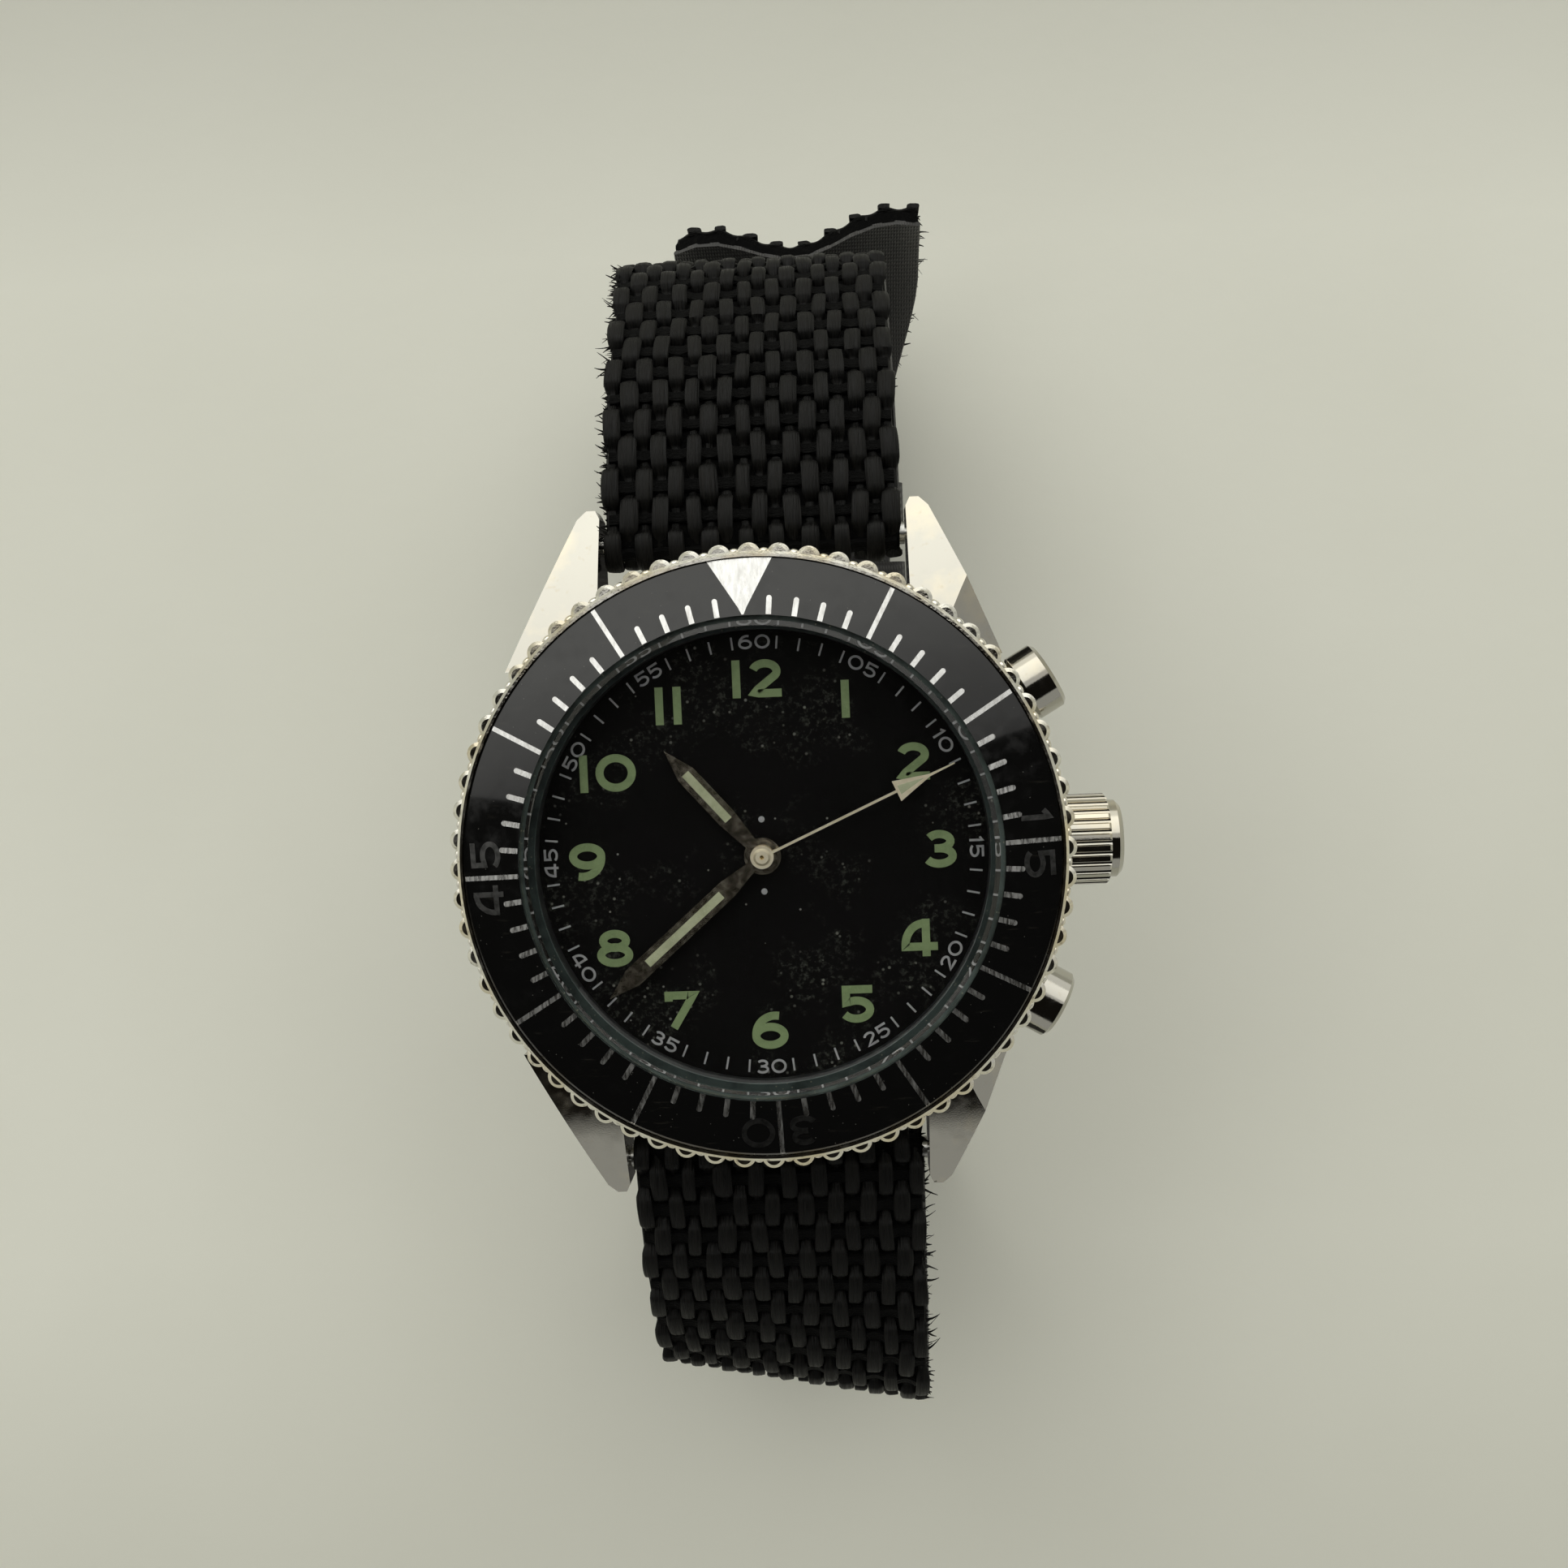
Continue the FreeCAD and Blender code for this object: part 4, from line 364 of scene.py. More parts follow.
class Look:
    """A Principled material whose nodes work in millimetres of the object's own coordinates."""

    def __init__(self, name, colour, roughness, **sockets):
        self.material = bpy.data.materials.new(f"look_{name}")
        self.material.use_nodes = True
        self.tree = self.material.node_tree
        self.shader = self.tree.nodes["Principled BSDF"]
        self.shader.inputs["Base Color"].default_value = (*colour, 1)
        self.shader.inputs["Roughness"].default_value = roughness
        for socket, amount in sockets.items():
            self.shader.inputs[socket.replace("_", " ")].default_value = amount
        self.coordinates = self.node("ShaderNodeTexCoord").outputs["Object"]
        self.bumps = None

    def node(self, kind, **settings):
        made = self.tree.nodes.new(kind)
        for key, setting in settings.items():
            setattr(made, key, setting)
        return made

    def link(self, source, target):
        self.tree.links.new(source, target)

    def scaled(self, stretch):
        """Coordinates in features per millimetre along each axis."""
        mapping = self.node("ShaderNodeMapping")
        mapping.inputs["Scale"].default_value = [s / MM for s in stretch]
        self.link(self.coordinates, mapping.inputs["Vector"])
        return mapping.outputs["Vector"]

    def noise(self, stretch, detail=3.0, rough=0.55):
        made = self.node("ShaderNodeTexNoise")
        made.inputs["Scale"].default_value = 1.0
        made.inputs["Detail"].default_value = detail
        made.inputs["Roughness"].default_value = rough
        self.link(self.scaled(stretch), made.inputs["Vector"])
        return made.outputs["Fac"]

    def specks(self, stretch, size):
        """White spots of the given share of a cell, on black."""
        made = self.node("ShaderNodeTexVoronoi")
        made.inputs["Scale"].default_value = 1.0
        self.link(self.scaled(stretch), made.inputs["Vector"])
        return self.spread(made.outputs["Distance"], size, size * 0.4, 0.0, 1.0)

    def spread(self, source, low, high, to_low, to_high):
        """The source carried from low..high to to_low..to_high, held at both ends."""
        made = self.node("ShaderNodeMapRange")
        values = {"From Min": low, "From Max": high, "To Min": to_low, "To Max": to_high}
        for socket, amount in values.items():
            made.inputs[socket].default_value = amount
        self.link(source, made.inputs["Value"])
        return made.outputs["Result"]

    def times(self, first, second):
        made = self.node("ShaderNodeMath", operation="MULTIPLY")
        self.link(first, made.inputs[0])
        self.link(second, made.inputs[1])
        return made.outputs[0]

    def tint(self, source, colour):
        """Lays another colour over the base where the source is high."""
        base = self.shader.inputs["Base Color"]
        made = self.node("ShaderNodeMix", data_type="RGBA")
        if base.is_linked:
            self.link(base.links[0].from_socket, made.inputs["A"])
        else:
            made.inputs["A"].default_value = base.default_value
        made.inputs["B"].default_value = (*colour, 1)
        self.link(source, made.inputs["Factor"])
        self.link(made.outputs["Result"], base)
        return self

    def rough(self, source, low, high, smoothest, roughest):
        self.link(self.spread(source, low, high, smoothest, roughest), self.shader.inputs["Roughness"])
        return self

    def bump(self, source, depth, strength=1.0):
        made = self.node("ShaderNodeBump")
        made.inputs["Distance"].default_value = depth * MM
        made.inputs["Strength"].default_value = strength
        self.link(source, made.inputs["Height"])
        if self.bumps is not None:
            self.link(self.bumps, made.inputs["Normal"])
        self.bumps = made.outputs["Normal"]
        self.link(self.bumps, self.shader.inputs["Normal"])
        return self


def chrome():
    """Bright plated metal, rubbed in places, with a warm film of grime."""
    look = Look("polished_chrome", (0.47, 0.455, 0.41), 0.08, Metallic=1.0)
    film = look.noise((0.22, 0.22, 0.22), 4)
    look.tint(look.spread(film, 0.5, 0.72, 0.0, 0.55), (0.66, 0.58, 0.42))
    look.tint(look.spread(look.noise((1.6, 1.6, 1.6), 5), 0.62, 0.8, 0.0, 0.5), (0.42, 0.36, 0.26))
    look.rough(look.noise((0.7, 0.7, 0.7), 4), 0.4, 0.7, 0.05, 0.2)
    look.bump(look.noise((0.12, 0.12, 0.12), 1), 0.05, 0.6)
    return look.bump(look.noise((9, 9, 9), 2), 0.002).material


def rim_metal():
    """The bezel's edge: the same plating, worn to a warmer tone in patches."""
    look = Look("bezel_rim", (0.82, 0.8, 0.74), 0.1, Metallic=1.0)
    look.tint(look.spread(look.noise((0.35, 0.35, 0.35), 4), 0.42, 0.66, 0.0, 0.75), (0.72, 0.62, 0.42))
    look.tint(look.spread(look.noise((2.4, 2.4, 2.4), 4), 0.58, 0.72, 0.0, 0.7), (0.2, 0.17, 0.12))
    look.rough(look.noise((1.2, 1.2, 1.2), 4), 0.4, 0.7, 0.06, 0.24)
    return look.bump(look.noise((4, 4, 4), 3), 0.008).material


def steel():
    """Fine-brushed steel, for the parts that aren't polished."""
    look = Look("steel", (0.6, 0.6, 0.58), 0.28, Metallic=1.0)
    grain = look.noise((0.6, 14, 14), 3)
    look.tint(look.spread(grain, 0.4, 0.7, 0.0, 0.4), (0.42, 0.41, 0.39))
    look.rough(grain, 0.3, 0.7, 0.2, 0.42)
    return look.bump(grain, 0.004).material


def rubber():
    look = Look("seal_rubber", (0.02, 0.021, 0.02), 0.6)
    look.tint(look.spread(look.noise((1.1, 1.1, 1.1), 4), 0.45, 0.7, 0.0, 0.8), (0.05, 0.052, 0.05))
    return look.bump(look.noise((6, 6, 6), 3), 0.01).material


def crystal_seal():
    """The grey-green ring at the crystal's edge, dusty where dirt has crept in."""
    look = Look("crystal_seal", (0.085, 0.115, 0.108), 0.35)
    look.tint(look.spread(look.noise((0.5, 0.5, 0.5), 5), 0.45, 0.62, 0.0, 0.8), (0.03, 0.04, 0.038))
    look.tint(look.specks((2.5, 2.5, 2.5), 0.16), (0.3, 0.3, 0.24))
    return look.bump(look.noise((4, 4, 4), 3), 0.012).material


def pale_plastic():
    look = Look("pale_plastic", (0.72, 0.71, 0.66), 0.42)
    look.tint(look.spread(look.noise((0.5, 0.5, 0.5), 4), 0.4, 0.7, 0.0, 0.7), (0.6, 0.59, 0.53))
    return look.bump(look.noise((5, 5, 5), 3), 0.01).material


def glass():
    """Clear mineral glass that lets lamps through to the dial."""
    look = Look("glass", (1.0, 1.0, 1.0), 0.0, IOR=1.5, Transmission_Weight=1.0)
    look.rough(look.noise((1.4, 1.4, 1.4), 5), 0.66, 0.8, 0.0, 0.05)
    clear = look.node("ShaderNodeBsdfTransparent")
    mix = look.node("ShaderNodeMixShader")
    rays = look.node("ShaderNodeLightPath")
    look.link(rays.outputs["Is Shadow Ray"], mix.inputs["Fac"])
    look.link(look.shader.outputs["BSDF"], mix.inputs[1])
    look.link(clear.outputs["BSDF"], mix.inputs[2])
    look.link(mix.outputs["Shader"], look.tree.nodes["Material Output"].inputs["Surface"])
    return look.material


def black_gloss():
    """The insert's lacquer: deep black, with hairline scuffs and dust."""
    look = Look("black_gloss", (0.004, 0.004, 0.004), 0.07, Coat_Weight=0.3, Coat_Roughness=0.03)
    look.tint(look.spread(look.noise((0.5, 3.5, 0.5), 5), 0.64, 0.8, 0.0, 0.6), (0.03, 0.027, 0.022))
    look.tint(look.specks((1.7, 1.7, 1.7), 0.07), (0.1, 0.1, 0.09))
    look.rough(look.noise((0.8, 0.8, 0.8), 5), 0.45, 0.75, 0.06, 0.24)
    return look.bump(look.noise((0.25, 0.25, 0.25), 2), 0.02, 0.5).material


def dial_black():
    """Matt dial paint, dusty in a few drifts, as old dials are under their glass."""
    look = Look("matt_black", (0.0011, 0.0011, 0.0011), 0.7, Specular_IOR_Level=0.07)
    drift = look.spread(look.noise((0.16, 0.16, 0.16), 3), 0.5, 0.62, 0.0, 1.0)
    dust = look.spread(look.noise((2.8, 2.8, 2.8), 6, 0.7), 0.52, 0.72, 0.0, 1.0)
    look.tint(look.times(drift, dust), (0.05, 0.053, 0.044))
    look.tint(look.times(drift, look.specks((1.3, 1.3, 1.3), 0.16)), (0.16, 0.16, 0.14))
    look.tint(look.specks((0.55, 0.55, 0.55), 0.05), (0.2, 0.2, 0.18))
    return look.bump(look.noise((7, 7, 7), 4), 0.01).material


def flange_dark():
    look = Look("dark_flange", (0.012, 0.013, 0.013), 0.4)
    look.tint(look.spread(look.noise((0.9, 0.9, 0.9), 5), 0.5, 0.7, 0.0, 0.6), (0.05, 0.055, 0.05))
    return look.bump(look.noise((5, 5, 5), 3), 0.008).material


def hand_metal():
    """Polished hands, a little darkened and pitted."""
    look = Look("hand_metal", (0.72, 0.66, 0.54), 0.12, Metallic=1.0)
    look.tint(look.spread(look.noise((0.8, 0.8, 0.8), 5), 0.5, 0.75, 0.0, 0.5), (0.45, 0.38, 0.28))
    look.rough(look.noise((2.2, 2.2, 2.2), 4), 0.4, 0.7, 0.1, 0.22)
    return look.bump(look.noise((1.5, 1.5, 1.5), 2), 0.004, 0.5).material


def bright_metal():
    """The seconds hand: a thin satin strip, paler than the other hands."""
    look = Look("bright_metal", (0.9, 0.83, 0.64), 0.42, Metallic=1.0)
    look.tint(look.spread(look.noise((1.5, 1.5, 1.5), 4), 0.5, 0.75, 0.0, 0.5), (0.7, 0.6, 0.4))
    return look.bump(look.noise((5, 5, 5), 3), 0.01).material


def lume(name, colour, shade):
    """Grainy luminous paint."""
    look = Look(name, colour, 0.7)
    look.tint(look.spread(look.noise((1.2, 1.2, 1.2), 5), 0.4, 0.65, 0.0, 0.8), shade)
    look.tint(look.spread(look.noise((7, 7, 7), 3), 0.56, 0.7, 0.0, 0.5), [c * 1.25 for c in colour])
    return look.bump(look.noise((9, 9, 9), 3), 0.012).material


def track_white():
    look = Look("track_white", (0.34, 0.345, 0.35), 0.6)
    look.tint(look.spread(look.noise((1.5, 1.5, 1.5), 4), 0.45, 0.65, 0.0, 0.7), (0.22, 0.225, 0.23))
    return look.bump(look.noise((9, 9, 9), 2), 0.006).material


def marking_silver():
    """Bright metal showing through the insert's lacquer."""
    look = Look("marking_silver", (0.8, 0.8, 0.79), 0.3, Metallic=1.0)
    look.tint(look.spread(look.noise((3.5, 1.0, 1.0), 5), 0.45, 0.7, 0.0, 0.7), (0.52, 0.51, 0.49))
    look.rough(look.noise((6, 1.2, 1.2), 4), 0.35, 0.7, 0.2, 0.42)
    return look.bump(look.noise((8, 3, 3), 3), 0.006).material


def marking_dim():
    """The insert's figures: the metal barely shows through the lacquer."""
    look = Look("marking_dim", (0.13, 0.13, 0.128), 0.34, Metallic=1.0)
    look.tint(look.spread(look.noise((2.5, 2.5, 1.0), 5), 0.4, 0.65, 0.0, 0.8), (0.05, 0.05, 0.049))
    return look.bump(look.noise((8, 3, 3), 3), 0.006).material


def brass():
    look = Look("brass", (0.78, 0.58, 0.26), 0.24, Metallic=1.0)
    look.tint(look.spread(look.noise((0.8, 0.8, 0.8), 4), 0.45, 0.7, 0.0, 0.6), (0.6, 0.4, 0.16))
    look.rough(look.noise((9, 9, 2), 3), 0.35, 0.7, 0.16, 0.36)
    return look.bump(look.noise((12, 12, 2), 3), 0.003).material


def magnet():
    look = Look("rotor_magnet", (0.1, 0.1, 0.105), 0.38, Metallic=0.8)
    look.tint(look.spread(look.noise((2, 2, 2), 4), 0.45, 0.7, 0.0, 0.7), (0.2, 0.2, 0.21))
    return look.bump(look.noise((8, 8, 8), 3), 0.006).material


def winding():
    """Fine enamelled wire, wound in close turns."""
    look = Look("copper_winding", (0.7, 0.3, 0.12), 0.3, Metallic=1.0)
    turns = look.noise((14, 0.5, 0.5), 2)
    look.tint(look.spread(turns, 0.4, 0.6, 0.0, 0.8), (0.4, 0.14, 0.05))
    return look.bump(turns, 0.03).material


def board():
    look = Look("board_green", (0.02, 0.13, 0.05), 0.35)
    tracks = look.spread(look.noise((1.6, 0.3, 1), 2), 0.5, 0.56, 0.0, 1.0)
    look.tint(tracks, (0.05, 0.24, 0.09))
    return look.bump(tracks, 0.02).material


def yarn(name, stretch, colour, light, gloss):
    """Flat synthetic yarn: fine fibres along its length, silky where light grazes it."""
    look = Look(name, colour, 0.5, Specular_IOR_Level=gloss, Sheen_Weight=0.015, Sheen_Roughness=0.35)
    fibres = look.noise(stretch, 3, 0.6)
    look.tint(look.spread(fibres, 0.42, 0.7, 0.0, 0.9), light)
    look.tint(look.spread(look.noise((0.3, 0.3, 0.3), 3), 0.4, 0.7, 0.0, 0.5), [c * 0.5 for c in colour])
    look.rough(fibres, 0.35, 0.7, 0.42, 0.66)
    return look.bump(fibres, 0.16).material


def strap_core():
    look = Look("strap_core", (0.0012, 0.0012, 0.0012), 0.95, Specular_IOR_Level=0.1)
    look.tint(look.spread(look.noise((3, 3, 3), 4), 0.5, 0.75, 0.0, 0.6), (0.006, 0.006, 0.005))
    return look.bump(look.noise((5, 5, 5), 4), 0.05).material


def lining():
    """The strap's smooth backing: a fine plain weave, pressed flat."""
    look = Look("strap_lining", (0.02, 0.019, 0.018), 0.55, Sheen_Weight=0.2)
    across = look.node("ShaderNodeTexWave", bands_direction="X")
    across.inputs["Scale"].default_value = 1.4
    look.link(look.scaled((1, 1, 1)), across.inputs["Vector"])
    along = look.node("ShaderNodeTexWave", bands_direction="DIAGONAL")
    along.inputs["Scale"].default_value = 1.1
    look.link(look.scaled((0.0, 1, 1)), along.inputs["Vector"])
    weave = look.times(across.outputs["Fac"], along.outputs["Fac"])
    look.tint(look.spread(weave, 0.0, 0.8, 0.0, 0.7), (0.045, 0.042, 0.038))
    look.tint(look.spread(look.noise((0.4, 0.4, 0.4), 4), 0.45, 0.7, 0.0, 0.5), (0.01, 0.01, 0.009))
    return look.bump(weave, 0.06).material


def pale_floor():
    """A plain pale card, faintly mottled, with painted shade darkening it towards its far (+Y) edge and,
    less, towards its near (-Y) edge.
    """
    look = Look("pale_floor", (0.89, 0.89, 0.795), 0.75)
    look.tint(look.spread(look.noise((0.02, 0.02, 0.02), 3), 0.35, 0.7, 0.0, 0.4), (0.8, 0.8, 0.7))
    look.tint(look.specks((0.035, 0.035, 0.035), 0.015), (0.3, 0.3, 0.27))
    # Painted shade: the card darkens between 50 and 90 mm out towards +Y and between 40 and 80 mm out
    # towards -Y (bounds given in metres).
    ends = look.node("ShaderNodeSeparateXYZ")
    look.link(look.coordinates, ends.inputs[0])
    look.tint(look.spread(ends.outputs["Y"], 0.05, 0.09, 0.0, 0.75), (0.5, 0.5, 0.44))
    look.tint(look.spread(ends.outputs["Y"], -0.04, -0.08, 0.0, 0.4), (0.55, 0.55, 0.47))
    return look.bump(look.noise((0.6, 0.6, 0.6), 4), 0.02).material


LOOKS = {
    "polished_chrome": chrome(),
    "bezel_rim": rim_metal(),
    "steel": steel(),
    "seal_rubber": rubber(),
    "crystal_seal": crystal_seal(),
    "pale_plastic": pale_plastic(),
    "glass": glass(),
    "black_gloss": black_gloss(),
    "matt_black": dial_black(),
    "dark_flange": flange_dark(),
    "hand_metal": hand_metal(),
    "bright_metal": bright_metal(),
    "lume": lume("lume", (0.4, 0.43, 0.28), (0.3, 0.33, 0.2)),
    "lume_print": lume("lume_print", (0.185, 0.255, 0.115), (0.14, 0.2, 0.085)),
    "track_white": track_white(),
    "marking_silver": marking_silver(),
    "marking_dim": marking_dim(),
    "brass": brass(),
    "rotor_magnet": magnet(),
    "copper_winding": winding(),
    "board_green": board(),
    "warp": yarn("warp_yarn", (6.5, 0.3, 0.3), (0.0022, 0.0021, 0.0019), (0.0085, 0.0078, 0.0065), 0.16),
    "weft": yarn("weft_yarn", (0.35, 9, 9), (0.001, 0.001, 0.0009), (0.0028, 0.0027, 0.0025), 0.07),
    "strap_core": strap_core(),
    "strap_textile": lining(),
}
SPECIAL = {"crystal_gasket": "crystal_seal", "bezel_ring": "bezel_rim", "seconds_hand": "bright_metal"}


def dress_nodes():
    """Gives every CAD node the finish of its material slot, or one of its own."""
    for name, node in NODES.items():
        slot = node.data.materials[0].name
        for index in range(len(node.data.materials)):
            node.data.materials[index] = LOOKS[SPECIAL.get(name, slot)]


# ---- dial

def soften(node, width):
    """A small bevel along a CAD node's edges, so that they catch the light."""
    edge = NODES[node].modifiers.new("edge", "BEVEL")
    edge.width = width * MM
    edge.segments = 2
    edge.limit_method = "ANGLE"
    edge.angle_limit = math.radians(40)


def on_dial(x, y, height):
    return x, y, DIAL_TOP + height


def hour_figures():
    shape = Shape()
    for hour in range(1, 13):
        spot = on_clock(HOUR_RADIUS, hour * 30)
        number(shape, str(hour), spot, 0, HOUR_HEIGHT, HOUR_STROKE, on_dial, HOUR_GAP)
    shape.piece("dial_hour_figures", "case", LOOKS["lume_print"])


def minute_track():
    """A tick for each minute, and small figures in place of every fifth one."""
    ticks = Shape()
    figures = Shape()
    for minute in range(1, 61):
        angle = minute * 6
        if minute % 5:
            tick = [on_clock(TICK_INNER, angle), on_clock(TICK_OUTER, angle)]
            stroke(ticks, tick, TICK_WIDTH, on_dial)
        else:
            turned = -angle if minute <= 15 or minute >= 45 else 180 - angle
            number(figures, f"{minute:02d}", on_clock(MINUTE_RADIUS, angle), turned,
                   MINUTE_HEIGHT, MINUTE_STROKE, on_dial, MINUTE_GAP, flagged=True)
    ticks.piece("dial_minute_ticks", "case", LOOKS["track_white"])
    figures.piece("dial_minute_figures", "case", LOOKS["track_white"])


def dial_dots():
    """Two small round spots, above and below the centre."""
    shape = Shape()
    for side in (1, -1):
        ring = disc(0, side * DOT_PLACE, DOT_RADIUS, 20)
        low = [on_dial(x, y, -PRINT_DEPTH) for x, y in ring]
        high = [on_dial(x, y, PRINT_DEPTH) for x, y in ring]
        shape.grid([low, high])
    shape.piece("dial_dots", "case", LOOKS["track_white"])


# ---- bezel insert

def on_insert(x, y, height):
    """A point on the insert's sloping face."""
    radius = math.hypot(x, y)
    fall = (radius - INSERT_INNER) / (INSERT_OUTER - INSERT_INNER) * INSERT_DROP
    return x, y, INSERT_TOP - fall + height


def insert_line(shape, angle, inner, outer, width):
    line = finely([on_clock(inner, angle), on_clock(outer, angle)], LINE_STEP)
    stroke(shape, line, width, on_insert)


def rounded_line(shape, angle, inner, outer, width):
    """A short line with a rounded outer end."""
    axis = Vector(on_clock(1, angle))
    side = Vector((axis.y, -axis.x))
    end = outer - width / 2
    outline = [axis * inner - side * width / 2]
    for turn in np.linspace(180, 0, 9):
        a = math.radians(turn)
        outline.append(axis * (end + width / 2 * math.sin(a)) + side * (width / 2 * math.cos(a)))
    outline.append(axis * inner + side * width / 2)
    low = [on_insert(p.x, p.y, -PRINT_DEPTH) for p in outline]
    high = [on_insert(p.x, p.y, PRINT_DEPTH) for p in outline]
    shape.grid([low, high])


def triangle(shape):
    """The inverted triangle at the top, its point reaching the insert's inner edge."""
    rows = 8
    deep = INSERT_OUTER - TRIANGLE_FROM_OUTER - INSERT_INNER
    strips = []
    for row in range(rows + 1):
        radius = INSERT_INNER + TRIANGLE_FROM_INNER + deep * row / rows
        half = max(TRIANGLE_TIP, TRIANGLE_HALF * row / rows)
        strip = [on_clock(math.hypot(radius, x), -BEZEL_TWIST + math.degrees(math.atan2(x, radius)))
                 for x in np.linspace(-half, half, 7)]
        high = [on_insert(x, y, PRINT_DEPTH) for x, y in strip]
        low = [on_insert(x, y, -PRINT_DEPTH) for x, y in strip]
        strips.append(high + low[::-1])
    shape.grid(strips)


def insert_markings():
    """A triangle at 12, a full line every five minutes and a short line every minute."""
    shape = Shape()
    figures = Shape()
    triangle(shape)
    for minute in range(1, 60):
        angle = minute * 6 - BEZEL_TWIST
        inner = INSERT_INNER + LINE_FROM_INNER
        if minute % 5:
            rounded_line(shape, angle, inner, INSERT_INNER + SHORT_LINE_LENGTH, SHORT_LINE_WIDTH)
        else:
            insert_line(shape, angle, inner, INSERT_OUTER - LINE_FROM_OUTER, LONG_LINE_WIDTH)
    for minute in (15, 30, 45):
        angle = minute * 6 - BEZEL_TWIST
        middle = (INSERT_INNER + INSERT_OUTER) / 2 + BEZEL_NUMBER_OUT
        for figure, side in zip(str(minute), (-1, 1)):
            spot = on_clock(middle, angle + side * math.degrees(BEZEL_FIGURE_SPREAD / middle))
            number(figures, figure, spot, -angle, BEZEL_NUMBER_HEIGHT, BEZEL_NUMBER_STROKE, on_insert,
                   flagged=True, longest=BEZEL_FIGURE_STEP)
    shape.piece("bezel_insert_lines", "bezel", LOOKS["marking_silver"])
    figures.piece("bezel_insert_figures", "bezel", LOOKS["marking_dim"])


def bezel_links():
    """A small bead in each valley of the bezel's edge, between the large bumps."""
    shape = Shape()
    for index in range(BUMP_COUNT):
        angle = math.radians(index * 360 / BUMP_COUNT + LINK_START)
        out = np.array([math.cos(angle), math.sin(angle), 0])
        along = np.array([-out[1], out[0], 0])
        up = np.array([0, 0, 1])
        rings = []
        for t in np.linspace(-1, 1, 7):
            size = math.sqrt(max(0.0, 1 - LINK_POINTED * t * t))
            centre = out * LINK_RADIUS + along * t * LINK_HALF + up * LINK_Z
            rings.append([centre + (out * math.cos(a) * LINK_DEEP + up * math.sin(a) * LINK_TALL) * size
                          for a in round_angles(12)])
        shape.grid(rings)
    shape.piece("bezel_links", "bezel", LOOKS["bezel_rim"])


# ---- strap

class Route:
    """A strap's middle line in the YZ plane, as lines and arcs. Left of it is the outside of the strap."""

    def __init__(self, y, z, heading):
        self.spot = np.array([y, z], float)
        self.heading = math.radians(heading)
        self.runs = []
        self.length = 0.0

    def left(self, heading):
        return np.array([-math.sin(heading), math.cos(heading)])

    def line(self, length):
        self.runs.append((self.length, length, self.spot, self.heading, 0.0))
        self.spot = self.spot + length * np.array([math.cos(self.heading), math.sin(self.heading)])
        self.length += length

    def bend(self, radius, degrees):
        turn = math.radians(degrees)
        length = abs(turn) * radius
        self.runs.append((self.length, length, self.spot, self.heading, turn / length))
        centre = self.spot + self.left(self.heading) * radius * math.copysign(1, turn)
        self.heading += turn
        self.spot = centre - self.left(self.heading) * radius * math.copysign(1, turn)
        self.length += length

    def bends(self, radii_and_degrees):
        for radius, degrees in radii_and_degrees:
            self.bend(radius, degrees)

    def at(self, station):
        """Place and outward direction at a distance along the route."""
        for start, length, spot, heading, curve in self.runs:
            if station <= start + length + 1e-9:
                break
        gone = min(max(station - start, 0.0), length)
        now = heading + curve * gone
        if curve:
            centre = spot + self.left(heading) / curve
            return centre - self.left(now) / curve, self.left(now)
        return spot + gone * np.array([math.cos(now), math.sin(now)]), self.left(now)

    def sample(self, stations):
        pairs = [self.at(s) for s in stations]
        return np.array([p[0] for p in pairs]), np.array([p[1] for p in pairs])


def eye():
    """A route that starts by going round a spring bar."""
    route = Route(BAR_Y, BAR_Z - EYE_LINE, 180)
    route.bend(EYE_LINE, -EYE_TURN)
    return route


def upper_route():
    """Round the spring bar, over the shoulder and down to the buckle's bar."""
    route = eye()
    route.bends(UPPER_BENDS)
    route.line(route.spot[0] - BUCKLE_Y)
    return route


def lower_route():
    """Round the other spring bar, under the wrist and up behind the upper half. Its Y is mirrored."""
    route = eye()
    route.bends(LOWER_BENDS)
    route.line(route.spot[0] + BAR_Y + TAIL_REACH)
    route.bends(TAIL_BENDS)
    route.line(TAIL_STRAIGHT)
    return route


def swell(stations, first, full, last_full, last):
    """A smooth rise from 0 to 1 between two stations and a fall back between two more."""
    rise = np.clip((stations - first) / (full - first), 0, 1)
    fall = np.clip((last - stations) / (last - last_full), 0, 1)
    low = np.minimum(rise, fall)
    return low * low * (3 - 2 * low)


